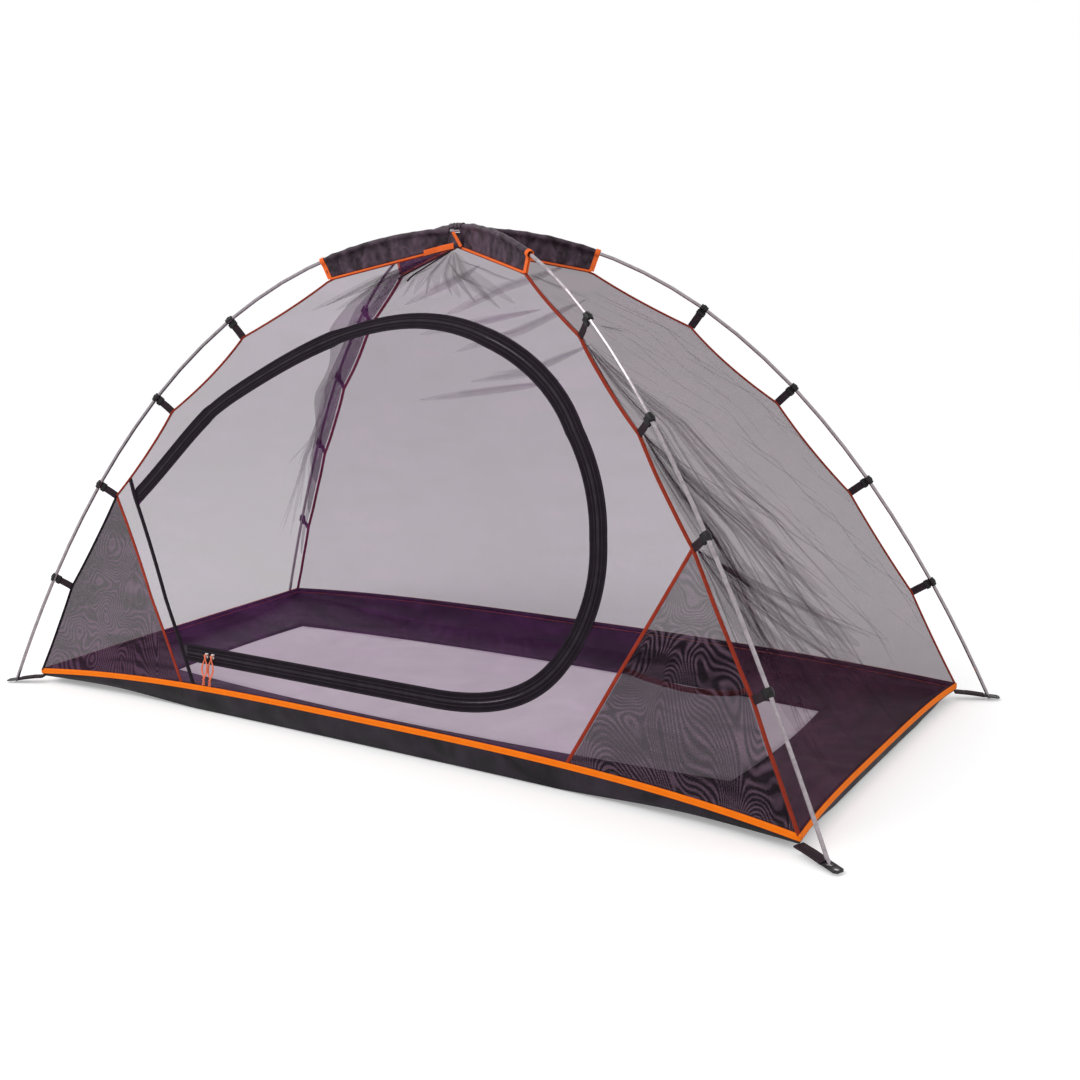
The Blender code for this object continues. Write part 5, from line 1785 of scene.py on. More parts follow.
@dataclass
class Door(Dresser):
    """The D-shaped door of fine net, its long zip and the tape that it hinges on."""

    mesh_size: float = 0.024
    tape_width: float = 0.0200
    tape_thickness: float = 0.0012
    coil_width: float = 0.0031
    coil_height: float = 0.0015
    rib_half: float = 0.0011
    rib_height: float = 0.0007
    step: float = 0.010
    trim: float = 0.0140
    middle_gap: float = 0.0002
    hinge_past_foot: float = 0.086
    hinge_past_head: float = 0.052
    hinge_size: tuple[float, float, float] = (0.0120, 0.0012, 0.0003)
    patch_size: tuple[float, float, float] = (0.0400, 0.0008, 0.0002)

    def panel(self) -> None:
        """Make the door's net."""

        def relief(along: Array, heights: Array, room: Array) -> Array:
            """Slow billows across the door.

            Args:
                along: places along the wall.
                heights: their heights.
                room: how far each is from the nearest edge.

            Returns:
                How far the cloth stands out at each place.
            """
            return crease_field(along * 0.7, heights, room, 7.0, 0.0055, 0.09)

        piece = net_sheet("door_net_panel", self.shape.front, DoorCut(self.shape).panel(), [],
                          self.mesh_size, relief)
        self.sew(piece, "door_net", "black_net", Body.DOOR, "door_net_panel")

    def zip_half(self, name: str, side: int, body: Body) -> None:
        """Make one side of the zip: a woven tape with two raised ribs, and half of the coil.

        Args:
            name: the node's name.
            side: 1 for the wall's side, -1 for the door's.
            body: the body that carries it.
        """
        path = resample(self.shape.door_line(self.step), self.step, self.trim, self.trim)
        places, out = wall_line(self.shape.front, path)
        sideways, out = line_frames(places, out)
        half, gap, wide, coil = self.tape_thickness / 2, self.middle_gap, self.tape_width, self.coil_width
        low, high = half * 0.6, half + self.coil_height
        sections = [("", "zip_tape", [(gap, -half), (wide, -half), (wide + 0.0004, 0.0), (wide, half),
                                      (coil, half), (gap, half)]),
                    ("_coil", "coil", [(gap, low), (coil, low), (coil * 0.96, (low + high) / 2),
                                       (coil * 0.74, high * 0.94),
                                       (coil * 0.45, high), (gap, high * 0.96)])]
        for number, middle in enumerate((wide * 0.42, wide * 0.90)):
            sections.append((f"_rib_{number}", "coil", [(middle - self.rib_half, half * 0.7),
                                                        (middle + self.rib_half, half * 0.7),
                                                        (middle, half + self.rib_height)]))
        pieces = []
        for ending, finish, section in sections:
            pieces.append(sweep(name + ending, places, sideways, out, [(side * x, y) for x, y in section]))
            pieces[-1].data.materials.append(self.materials[finish])
        self.dress(join_pieces(name, pieces), "zip_tape", "black_zip_tape", body, name)

    def hinge_tape(self) -> None:
        """Make the tape that the door hinges on."""
        head, foot = np.array(self.shape.hinge_head), np.array(self.shape.hinge_foot)
        end = float(np.linalg.norm(head - foot)) + self.hinge_past_head
        stops = np.linspace(-self.hinge_past_foot, end, 44)
        line = foot + unit(head - foot) * stops[:, None]
        piece = tape("door_hinge_tape", *wall_line(self.shape.front, line), self.hinge_size)
        self.dress(piece, "zip_tape", "black_zip_tape", node="door_hinge_tape")

    def stop_patch(self) -> None:
        """Make the patch of cloth that closes the zip's upper end against the hinge tape."""
        path = resample(self.shape.door_line(self.step), 0.003)[-8:]
        piece = tape("zip_stop_patch", *wall_line(self.shape.front, path, -0.0012), self.patch_size)
        self.dress(piece, "zip_tape", "black_zip_tape")

    def build(self) -> None:
        """Make the door."""
        self.panel()
        self.zip_half("wall_zip_tape", 1, Body.TENT)
        self.zip_half("door_zip_tape", -1, Body.DOOR)
        self.hinge_tape()
        self.stop_patch()


@dataclass
class Bindings(Dresser):
    """The orange-red bindings that cover the corner seams and the gussets' seams."""

    size: tuple[float, float, float] = (0.0076, 0.0034, 0.0006)
    gusset_size: tuple[float, float, float] = (0.0078, 0.0016, 0.0005)
    foot_gap: float = 0.004
    peak_gap: float = 0.002
    wobble: float = 0.0003
    gusset_foot_height: float = 0.066

    def corner(self, corner: Corner) -> None:
        """Make the folded binding up one corner.

        Args:
            corner: the corner.
        """
        shape, seam = self.shape, self.shape.seams[corner]
        heights = np.linspace(shape.hem_corner_height + self.foot_gap,
                              shape.net_peak_height - self.peak_gap, 150)
        places = seam.points(heights)
        run = unit(np.gradient(places, axis=0))
        out = unit(np.cross(np.cross(seam.direction, UP)[None, :], run))
        out = out * np.where(out @ seam.direction > 0, 1.0, -1.0)[:, None]
        sideways = unit(np.cross(run, out))
        places = places + sideways * (np.sin(heights * 57.0 + seam.side) * self.wobble)[:, None]
        split, section, name = 0, rounded(*self.size), f"{corner.value}_seam"
        if corner is Corner.FRONT_LEFT:
            split = int(np.searchsorted(heights, shape.gusset_top(-1)))
            foot = sweep(f"{name}_foot", places[:split + 1], sideways[:split + 1], out[:split + 1], section)
            self.dress(foot, "zip_tape", "red_binding")
        piece = sweep(f"{name}_tape", places[split:], sideways[split:], out[split:], section)
        self.dress(piece, "red_tape", "red_binding", node=f"{name}_tape")

    def gusset_seam(self, side: int, name: str) -> None:
        """Make the binding of a gusset's seam.

        Args:
            side: 1 for the right-hand gusset, -1 for the left-hand one.
            name: the node's name.
        """
        heights = map(float, np.linspace(self.gusset_foot_height, self.shape.gusset_top(side), 50))
        line = [(self.shape.gusset_line(side, height), height) for height in heights]
        self.dress(tape(name, *wall_line(self.shape.front, line), self.gusset_size), "red_tape",
                   "red_binding")

    def build(self) -> None:
        """Make all the bindings."""
        for corner in Corner:
            self.corner(corner)
        self.gusset_seam(-1, "left_gusset_binding")
        self.gusset_seam(1, "right_gusset_binding")


@dataclass
class Tub(Dresser):
    """The black tub, its bright hem tape and the light panel of its floor."""

    foot_inset_long: float = 0.0150
    foot_inset_end: float = 0.0100
    corner_foot_inset: float = 0.0080
    corner_lift: float = 0.0160
    lift_long: tuple[float, float] = (0.450, 0.850)
    lift_end: tuple[float, float] = (0.200, 0.470)
    floor_length: float = 1.580
    floor_width: float = 0.470
    floor_bow_long: float = 0.040
    floor_bow_end: float = 0.012
    hem_width: float = 0.0140
    hem_thickness: float = 0.0024
    long_steps: int = 140
    end_steps: int = 64
    wave_height: float = 0.0030
    wrinkle_height: float = 0.0060
    floor_clearance: float = 0.0011
    floor_mesh_size: float = 0.022
    seam_allowance: Flat = (0.03, 0.02)

    def perimeter(self) -> list[tuple[Wall, float]]:
        """Places round the tent, wall by wall.

        Returns:
            The wall and the place along it, for each place.
        """
        shape = self.shape
        rows: list[tuple[Wall, float]] = []
        for wall, count, turn in ((shape.front, self.long_steps, 1), (shape.right_end, self.end_steps, 1),
                                  (shape.back, self.long_steps, -1), (shape.left_end, self.end_steps, -1)):
            half = shape.hem_half(wall)
            rows.extend((wall, turn * (-half + 2 * half * step / count)) for step in range(count))
        return rows

    def hem(self) -> None:
        """Make the tape round the hem."""
        shape, rows = self.shape, self.perimeter()
        places = np.array([wall.point(along, shape.hem_height(wall, along)) for wall, along in rows])
        upright = np.tile(UP, (len(places), 1))
        out = unit(np.cross(unit(np.roll(places, -1, axis=0) - np.roll(places, 1, axis=0)), upright))
        corner = np.array([abs(abs(along) - shape.hem_half(wall)) < 0.0005 for wall, along in rows])
        out = out * np.where(corner, 1.25, 1.0)[:, None]
        piece = sweep("hem_tape", places, upright, out, rounded(self.hem_width, self.hem_thickness, 0.0005),
                      closed=True)
        self.dress(piece, "orange_tape", "orange_tape", node="hem_tape")

    def floor_edge(self, wall: Wall, along: float, top: Array) -> Array:
        """The point of the light panel's edge that faces a place on the hem.

        Args:
            wall: the wall above.
            along: the place along it.
            top: the hem's point there.

        Returns:
            The point on the ground.
        """
        share = along / self.shape.hem_half(wall)
        bow = 1 - share ** 2
        long_side = wall.axis == 0
        x, y = (share, math.copysign(1.0, top[1])) if long_side else (math.copysign(1.0, top[0]), share)
        bow_x, bow_y = (0.0, self.floor_bow_long * bow) if long_side else (self.floor_bow_end * bow, 0.0)
        return np.array([x * self.floor_length / 2 + math.copysign(bow_x, x),
                         y * self.floor_width / 2 + math.copysign(bow_y, y), 0.0])

    def station(self, wall: Wall, along: float) -> list[Array]:
        """The tub's section at one place, from the panel's edge out over the ground and up to the hem.

        Args:
            wall: the wall above.
            along: the place along it.

        Returns:
            Points of the section, the panel's edge first.
        """
        shape, long_side = self.shape, wall.axis == 0
        height = shape.hem_height(wall, along)
        top, crest = wall.point(along, height), wall.point(along, height + self.hem_width / 2 + 0.001)
        top[2] = height - self.hem_width / 2 + 0.002
        start, end = self.lift_long if long_side else self.lift_end
        lift = self.corner_lift * smooth_step((abs(along) - start) / (end - start))
        inset = self.foot_inset_long if long_side else self.foot_inset_end
        blend = abs(along / shape.hem_half(wall)) ** 4
        inset = inset + (self.corner_foot_inset - inset) * blend
        inward = unit(np.array([-top[0] / shape.hem_half(shape.front),
                                -top[1] / shape.hem_half(shape.left_end), 0.0]))
        square = np.zeros(3)
        square[1 - wall.axis] = -math.copysign(1.0, top[1 - wall.axis])
        towards = unit(square * (1 - blend) + inward * blend)
        foot = top + towards * inset
        foot[2] = lift
        middle = (top + foot) / 2 - towards * inset * 0.25
        panel = self.floor_edge(wall, along, top)
        near = foot + (panel - foot) * 0.35
        near[2] = lift * 0.45
        ground = [panel + (near - panel) * part for part in (0.0, 0.25, 0.5, 0.75)]
        ground += [near + (foot - near) * part for part in (0.0, 0.35, 0.7)]
        rows = ground + [foot, (foot + middle) / 2, middle, (middle + top) / 2, top]
        around, shaped = math.atan2(top[1], top[0]) * 9.0, []
        for index, point in enumerate(rows):
            wave = float(ripple(np.array(around * 3.1 + index * 0.4), np.array(index * 0.9), 1.3))
            if index >= len(ground):
                fade = math.sin(math.pi * (index - len(ground)) / 4.0)
                point = point - towards * wave * self.wave_height * fade
            else:
                fade = math.sin(math.pi * (index / (len(rows) - 1)))
                point = point + UP * max(0.0, wave) * self.wrinkle_height * fade
            shaped.append(np.array([point[0], point[1], max(point[2], self.floor_clearance)]))
        return shaped + [top + towards * 0.0030 + UP * 0.0015, crest + towards * 0.0028]

    def wall(self) -> None:
        """Make the tub's cloth."""
        rows = np.array([self.station(wall, along) for wall, along in self.perimeter()])
        count, width = rows.shape[:2]
        around, outwards = runs_along(rows[:, -1]), [runs_along(row) for row in rows]
        uvs = [(around[index], run) for index, runs in enumerate(outwards) for run in runs]
        piece = add_mesh("tub_wall", rows.reshape(-1, 3), grid_faces(count, width, around=True), uvs)
        if sum(face.normal.z for face in piece.data.polygons) > 0:
            piece.data.flip_normals()
        thicken(piece, -1.0)
        size = np.array([around[-1], max(runs[-1] for runs in outwards)]) + self.seam_allowance
        self.sheet(piece, size, "stretched", mesh_area(piece) / 2)
        self.dress(piece, "tub", "black_coated_cloth", node="tub_wall")

    def floor(self) -> None:
        """Make the light panel, with soft wrinkles and a sewn edge."""
        outline = [self.floor_edge(wall, along, wall.point(along, 0.05)) for wall, along in self.perimeter()]
        loop = [(float(point[0]), float(point[1])) for point in outline]
        flat, triangles = cut_flat(loop, [], self.floor_mesh_size)
        room = np.clip(loop_distance(flat, np.array(loop)) / 0.04, 0.0, 1.0)
        lift = np.clip(ripple(flat[:, 0] * 9.0, flat[:, 1] * 17.0, 0.7), 0.0, 1.0) * 0.0030 * room
        piece = add_mesh("floor_panel", np.column_stack([flat, 0.0016 + lift]), triangles, flat)
        if piece.data.polygons[0].normal.z < 0:
            piece.data.flip_normals()
        thicken(piece, -1.0)
        self.sheet(piece, np.ptp(flat, axis=0), "laid", mesh_area(piece) / 2, rests_on=["tub_wall"])
        self.dress(piece, "floor", "light_coated_cloth", node="floor_panel")

    def build(self) -> None:
        """Make the hem tape, the tub and the floor."""
        self.hem()
        self.wall()
        self.floor()


@dataclass
class Sleeves(Dresser):
    """The four charcoal sleeves that hold the crown on the poles, with bright bound ends and lower edges."""

    start: float = 1.400
    end_from_crossing: float = 0.0165
    slack: float = 0.0020
    drop: float = 0.0450
    steps: int = 70
    step_length: float = 0.0055
    reach: float = 0.02
    half_gap: float = 0.0008
    legs: tuple[float, ...] = (0.98, 0.86, 0.74, 0.62, 0.50, 0.38, 0.26)
    wrinkle_height: float = 0.0021
    piping_size: tuple[float, float, float] = (0.0088, 0.0036, 0.0006)
    end_size: tuple[float, float, float] = (0.0105, 0.0020, 0.0002)
    end_legs: tuple[float, ...] = (0.99, 0.75, 0.5, 0.3)
    end_half_gap: float = 0.0022
    end_slack: float = 0.0014
    seam_half: float = 0.0022

    def seam_gap(self, seam: Seam, at: float) -> float:
        """How far in from the pole the sleeve reaches before it meets the seam binding.

        Args:
            seam: the seam under the sleeve.
            at: how far along the pole.

        Returns:
            The sleeve's depth.
        """
        centre, inward = seam.arch.point(at), seam.arch.inward(at, self.reach)
        low, high, peak = 0.0, self.drop * 2, self.shape.net_peak_height
        for _ in range(40):
            middle = (low + high) / 2
            probe = centre + inward * middle
            radius = math.hypot(probe[0], probe[1])
            past = probe[:2] @ seam.direction[:2] <= 0
            outside = past or radius > float(seam.radius(np.array([min(probe[2], peak)]))[0])
            if probe[2] > peak or (outside and probe[2] > peak - radius):
                low = middle
            else:
                high = middle
        return low - self.seam_half

    def fold(self, share: float, run: float, seed: float) -> float:
        """How far a slanting wrinkle stands out of the sleeve's side, at a share of its depth.

        Args:
            share: the share of the depth.
            run: how far along the sleeve.
            seed: which wrinkles the side has.

        Returns:
            How far it stands out.
        """
        wrinkle = math.sin(run * 210.0 + share * 3.4 + seed)
        wrinkle += 0.7 * math.sin(run * 330.0 - share * 4.1 + seed * 2.0)
        return self.wrinkle_height * max(0.0, wrinkle) * math.sin(math.pi * min(share * 1.02, 1.0))

    def over_pole(self, radius: float, turn: int) -> list[Flat]:
        """The bend of the cloth over the pole, in steps of a turn in degrees."""
        turns = [math.radians(degrees) for degrees in range(-150, 151, turn)]
        return [(radius * math.sin(angle), -radius * math.cos(angle)) for angle in turns]

    def sleeve(self, corner: str, seam: Seam) -> None:
        """Make one sleeve: cloth folded over the pole, bound at its outer end and along its lower edge.

        Args:
            corner: the corner's name.
            seam: the seam under the sleeve.
        """
        arch, radius = seam.arch, self.shape.pole_diameter / 2 + self.slack
        stops = np.linspace(self.start, arch.length / 2 - self.end_from_crossing, self.steps)
        ats = [float(arch.length - stop if seam.side > 0 else stop) for stop in stops]
        depths = [self.seam_gap(seam, at) for at in ats]
        rows, uvs = [], []
        for step, (at, depth) in enumerate(zip(ats, depths)):
            centre, inward, run = arch.point(at), arch.inward(at, self.reach), step * self.step_length
            wave = float(ripple(np.array(run * 90.0), np.array(run * 33.0), seam.side + 0.4))
            section = [(-self.half_gap - self.fold(share, run, seam.side), depth * share)
                       for share in self.legs]
            section += self.over_pole(radius + 0.0016 * max(0.0, wave), 20)
            section += [(self.half_gap + self.fold(share, run, seam.side + 3.0), depth * share)
                        for share in self.legs[::-1]]
            rows.extend(centre + arch.binormal * side + inward * down for side, down in section)
            uvs.extend((run, float(length)) for length in runs_along(section))
        faces = grid_faces(self.steps, len(rows) // self.steps, flipped=True)
        piece = add_mesh(f"{corner}_sleeve", rows, faces, uvs)
        turn_outwards(piece.data)
        thicken(piece)
        self.sheet(piece, np.array(uvs).max(axis=0), "folded", mesh_area(piece) / 2)
        self.dress(piece, "charcoal", "charcoal_cloth", node=f"{corner}_sleeve")
        edge = np.array([arch.point(at) + arch.inward(at, self.reach) * depth
                         for at, depth in zip(ats, depths)])
        self.bind(f"{corner}_sleeve_piping", edge, arch.binormal, self.piping_size)
        self.bind(f"{corner}_sleeve_end", self.end_line(seam, ats[0], depths[0], radius),
                  arch.tangent(ats[0], self.reach), self.end_size)

    def end_line(self, seam: Seam, at: float, depth: float, radius: float) -> Array:
        """The line of the binding over a sleeve's outer end, up, over the pole and down again.

        Args:
            seam: the seam under the sleeve.
            at: how far along the pole the end is.
            depth: the sleeve's depth there.
            radius: the bend of the sleeve over the pole.

        Returns:
            The line's points.
        """
        arch = seam.arch
        centre, inward = arch.point(at), arch.inward(at, self.reach)
        section = [(-self.end_half_gap, depth * share) for share in self.end_legs]
        section += self.over_pole(radius + self.end_slack, 15)
        section += [(self.end_half_gap, depth * share) for share in self.end_legs[::-1]]
        return np.array([centre + arch.binormal * side + inward * down for side, down in section])

    def bind(self, name: str, line: Array, side: Array, size: tuple[float, float, float]) -> None:
        """Make a bright binding along a line, whose width lies along a side.

        Args:
            name: the binding's name.
            line: its points.
            side: the side.
            size: its width, its thickness and how much it bulges.
        """
        sideways = np.tile(side, (len(line), 1))
        out = unit(np.cross(unit(np.gradient(line, axis=0)), sideways))
        self.dress(sweep(name, line, sideways, out, rounded(*size)), "bright_orange", "orange_tape")

    def build(self) -> None:
        """Make the four sleeves and their bindings."""
        for corner, seam in self.shape.seams.items():
            self.sleeve(corner.value, seam)


@dataclass
class Crown(Dresser):
    """The cloth that closes the gap between the sleeves where the poles cross, and its bright loop."""

    saddle_reach: float = 0.0300
    saddle_radius: float = 0.0078
    saddle_steps: int = 25
    reach: float = 0.02
    collar_levels: tuple[Flat, ...] = ((-0.0040, 0.0250), (0.0040, 0.0235), (0.0130, 0.0215),
                                       (0.0220, 0.0200), (0.0310, 0.0180))
    collar_steps: int = 48
    collar_size: Flat = (0.1500, 0.0400)
    loop_steps: int = 16
    loop_size: tuple[float, float, float] = (0.0130, 0.0022, 0.0006)
    edge_steps: int = 10
    edge_size: tuple[float, float, float] = (0.0075, 0.0018, 0.0004)
    strap_head: float = 1.050
    strap_feet: tuple[Flat, ...] = ((-0.050, 0.985), (-0.078, 0.990))
    strap_size: tuple[float, float, float] = (0.0052, 0.0012, 0.0002)
    strap_lift: float = 0.0034

    def saddle(self) -> None:
        """Fold a patch over the upper pole."""
        arch, points, uvs = self.shape.upper, [], []
        turns = [math.radians(turn) for turn in range(-126, 127, 14)]
        offs = np.linspace(-self.saddle_reach, self.saddle_reach, self.saddle_steps)
        for step, off in enumerate(map(float, offs)):
            at = arch.length / 2 + off
            centre, inward = arch.point(at), arch.inward(at, self.reach)
            for turn in turns:
                loose = self.saddle_radius + 0.0007 * math.sin(turn * 3.0 + step * 1.1)
                loose += 0.0005 * math.sin(step * 0.9)
                points.append(centre + arch.binormal * loose * math.sin(turn)
                              - inward * loose * math.cos(turn))
                uvs.append((off, self.saddle_radius * turn))
        faces = grid_faces(self.saddle_steps, len(turns), flipped=True)
        self.cloth("crown_saddle", points, faces, uvs, np.ptp(np.array(uvs), axis=0), "folded")

    def collar(self) -> None:
        """Gather a collar round the peak, from the net up to the poles."""
        points, uvs, count = [], [], self.collar_steps
        for rise, radius in self.collar_levels:
            for step in range(count):
                turn = 2 * math.pi * step / count
                loose = radius + 0.0012 * math.sin(turn * 9.0 + rise * 190.0)
                points.append((loose * math.cos(turn), loose * math.sin(turn),
                               self.shape.net_peak_height + rise))
                uvs.append((radius * turn, rise))
        faces = grid_faces(len(self.collar_levels), count, across=True)
        self.cloth("crown_collar", points, faces, uvs, self.collar_size, "stretched")

    def cloth(self, name: str, points: list, faces: list, uvs: list, size: Sequence[float],
              held: str) -> None:
        """Make one patch of the crown's cloth.

        Args:
            name: the piece's name.
            points: its places in space.
            faces: its faces.
            uvs: one UV place per point.
            size: its flat length and width.
            held: how it is held.
        """
        piece = add_mesh(name, points, faces, uvs)
        turn_outwards(piece.data)
        area = mesh_area(piece)
        thicken(piece)
        self.sheet(piece, size, held, area)
        self.dress(piece, "charcoal", "charcoal_cloth")

    def loop(self) -> None:
        """Sew the bright folded tape under the front left sleeve."""
        seam, peak = self.shape.seams[Corner.FRONT_LEFT], self.shape.net_peak_height
        side = unit(np.cross(UP, seam.direction))
        front = side if side[1] < 0 else -side
        shares = np.linspace(0.0, 1.0, self.loop_steps)
        radii, aside = 0.004 + 0.074 * shares, 0.0265 - 0.0185 * np.minimum(shares * 1.8, 1.0)
        heights = peak + 0.0020 - shares ** 1.3 * 0.0140
        places = seam.direction * radii[:, None] + np.outer(heights, UP) + front * aside[:, None]
        ups, fronts = (np.tile(way, (self.loop_steps, 1)) for way in (UP, front))
        loop = sweep("crown_loop", places, ups, fronts, rounded(*self.loop_size))
        facing, across = unit(np.array([0.42, -0.91, 0.0])), unit(np.array([0.91, 0.42, 0.0]))
        shares = np.linspace(0.0, 1.0, self.edge_steps)[:, None]
        edge = facing * (0.0225 + 0.0045 * shares) + across * (0.0180 * shares - 0.0050)
        edge = edge + (peak + 0.0330 - 0.0330 * shares) * UP
        piece = join_pieces("crown_loop", [loop, tape("crown_edge", edge, facing, self.edge_size)])
        self.dress(piece, "bright_orange", "orange_tape")

    def straps(self) -> None:
        """Sew the two thin straps beside the loop."""
        straps = []
        for number, (far, foot) in enumerate(self.strap_feet):
            line = [(far * share, self.strap_head - (self.strap_head - foot) * share)
                    for share in np.linspace(0.05, 1.0, self.edge_steps)]
            straps.append(tape(f"strap_{number}", *wall_line(self.shape.front, line, self.strap_lift),
                               self.strap_size))
        self.dress(join_pieces("crown_straps", straps), "zip_tape", "black_webbing")

    def build(self) -> None:
        """Make the crown's cloth."""
        self.saddle()
        self.collar()
        self.loop()
        self.straps()


@dataclass
class Bench:
    """Shapes one rigid piece in edit mode, as by hand."""

    piece: Object

    @classmethod
    def take(cls, name: str, size: Sequence[float] = (1.0, 1.0, 1.0)) -> "Bench":
        """Put the primitive that was just added on a bench, at its size.

        Args:
            name: the piece's name.
            size: its three sides.

        Returns:
            The bench with the piece on it.
        """
        piece = bpy.context.object
        piece.name, piece.scale = name, size
        settle(piece)
        return cls(piece)

    @classmethod
    def blade(cls, name: str, low: float, high: float, width: float) -> "Bench":
        """Start from a flat blade in the X-Z plane, between two radii.

        Args:
            name: the piece's name.
            low: the inner radius.
            high: the outer radius.
            width: its width along Z.

        Returns:
            The bench with the blade on it.
        """
        deselect_all()
        bpy.ops.mesh.primitive_plane_add(size=1.0, location=((low + high) / 2, 0.0, 0.0),
                                         rotation=(math.pi / 2, 0.0, 0.0))
        return cls.take(name, (high - low, width, 1.0))

    def start(self, action: str = "DESELECT") -> None:
        """Go into edit mode with nothing, or everything, selected.

        Args:
            action: SELECT for everything, DESELECT for nothing.
        """
        select_only(self.piece)
        bpy.ops.object.mode_set(mode="EDIT")
        bpy.ops.mesh.select_mode(type="FACE")
        bpy.ops.mesh.select_all(action=action)

    def pick(self, test: Callable[[bmesh.types.BMFace], bool]) -> None:
        """Select the faces that pass a test.

        Args:
            test: what a face has to pass.
        """
        work = bmesh.from_edit_mesh(self.piece.data)
        for face in work.faces:
            face.select_set(bool(test(face)))
        bmesh.update_edit_mesh(self.piece.data)

    def leave(self) -> None:
        """Go back to object mode."""
        bpy.ops.object.mode_set(mode="OBJECT")

    def spin(self, steps: int, degrees: float) -> "Bench":
        """Spin the blade about Z.

        Args:
            steps: how many steps it takes.
            degrees: how far it turns.

        Returns:
            The same bench.
        """
        self.start("SELECT")
        bpy.ops.mesh.spin(steps=steps, angle=-math.radians(degrees), center=(0.0, 0.0, 0.0),
                          axis=(0.0, 0.0, 1.0))
        bpy.ops.mesh.select_all(action="SELECT")
        bpy.ops.mesh.remove_doubles(threshold=0.00002)
        bpy.ops.mesh.normals_make_consistent(inside=False)
        self.leave()
        return self

    def soften(self, width: float, segments: int = 2, angle: float = 35.0) -> Object:
        """Round the sharp edges and return the piece.

        Args:
            width: the width of the bevel.
            segments: how many steps it has.
            angle: the least angle that is bevelled, in degrees.

        Returns:
            The piece.
        """
        bevel = self.piece.modifiers.new("soften", "BEVEL")
        bevel.width, bevel.segments, bevel.limit_method = width, segments, "ANGLE"
        bevel.angle_limit = math.radians(angle)
        settle(self.piece)
        select_only(self.piece)
        bpy.ops.object.shade_smooth_by_angle(angle=math.radians(40))
        deselect_all()
        return self.piece


@dataclass
class Clips(Dresser):
    """The sixteen clips that hang the net from the poles on woven straps."""

    bore: float = 0.00455
    wall: float = 0.0034
    width: float = 0.0180
    mouth_turn: float = 286.0
    rib_turn: float = 200.0
    rib_height: float = 0.0012
    rib_width: float = 0.0070
    pad_length: float = 0.0100
    pad_thickness: float = 0.0060
    pad_rim: float = 0.0019
    reach: float = 0.0500
    strap_thickness: float = 0.0015
    strap_steps: int = 16

    def hook(self) -> list[Object]:
        """Spin the hook that snaps over the pole, and the rib round it.

        Returns:
            The hook and its rib.
        """
        back = self.bore + self.wall
        hook = Bench.blade("clip_hook", self.bore, back, self.width).spin(22, self.mouth_turn)
        rib = Bench.blade("clip_rib", back - 0.0002, back + self.rib_height,
                          self.rib_width).spin(18, self.rib_turn)
        return [hook.soften(0.0006), rib.soften(0.0003)]

    def pad(self) -> Object:
        """Shape the block that holds the strap, with a slot through it.

        Returns:
            The block.
        """
        start = self.bore + self.wall * 0.6
        deselect_all()
        bpy.ops.mesh.primitive_cube_add(size=1.0, location=(start + self.pad_length / 2, 0.0, 0.0))
        bench = Bench.take("clip_pad", (self.pad_length, self.pad_thickness, self.width + 0.0030))
        bench.start()
        for facing in (1.0, -1.0):
            bench.pick(lambda face, way=facing: face.normal.y * way > 0.9)
            bpy.ops.mesh.inset(thickness=self.pad_rim, depth=0.0)
            bpy.ops.transform.translate(value=(0.0, -facing * self.pad_thickness * 0.28, 0.0))
        far = start + self.pad_length * 0.98
        bench.pick(lambda face: face.normal.x > 0.9 and face.calc_center_median().x > far)
        bpy.ops.mesh.inset(thickness=0.0011, depth=-0.0018)
        bench.leave()
        return bench.soften(0.0005)

    def strap(self) -> Object:
        """Weave the strap, with its turned-in end.

        Returns:
            The strap with its material.
        """
        start, end = self.bore + self.wall + self.pad_length * 0.55, self.reach - 0.0012
        stops = np.linspace(start, end, self.strap_steps)
        places = np.column_stack([stops, np.sin((stops - start) / (end - start) * math.pi) * 0.0010,
                                  np.zeros_like(stops)])
        ups, outs = np.tile(UP, (self.strap_steps, 1)), np.tile((0.0, 1.0, 0.0), (self.strap_steps, 1))
        thick = self.strap_thickness
        strap = sweep("clip_strap", places, ups, outs, rounded(self.width, thick, 0.0003))
        fold = places[stops >= start + (end - start) * 0.35] + np.array([0.0, thick * 0.98, 0.0])
        cover = sweep("clip_fold", fold, ups[:len(fold)], outs[:len(fold)],
                      rounded(self.width * 0.96, thick * 0.9, 0.0002))
        made = join_pieces("clip_strap", [strap, cover])
        made.data.materials.append(self.materials["webbing"])
        return made

    def build(self) -> None:
        """Make one clip and put a copy at each of the sixteen seats."""
        rigid = join_pieces("clip", [*self.hook(), self.pad()])
        rigid.data.materials.clear()
        rigid.data.materials.append(self.materials["plastic"])
        model = join_pieces("clip", [rigid, self.strap()])
        for corner, seam in self.shape.seams.items():
            arch = seam.arch
            for index, distance in enumerate(arch.clips):
                at = arch.length - distance if seam.side > 0 else distance
                inward, tangent = arch.inward(at), arch.tangent(at)
                name, mesh = f"{corner.value}_clip_{index + 1}", model.data.copy()
                mesh.transform(axes_at(arch.point(at), inward, np.cross(tangent, inward), tangent))
                self.dress(link_new(name, mesh), "plastic", "black_webbing", node=name)
        bpy.data.objects.remove(model, do_unlink=True)


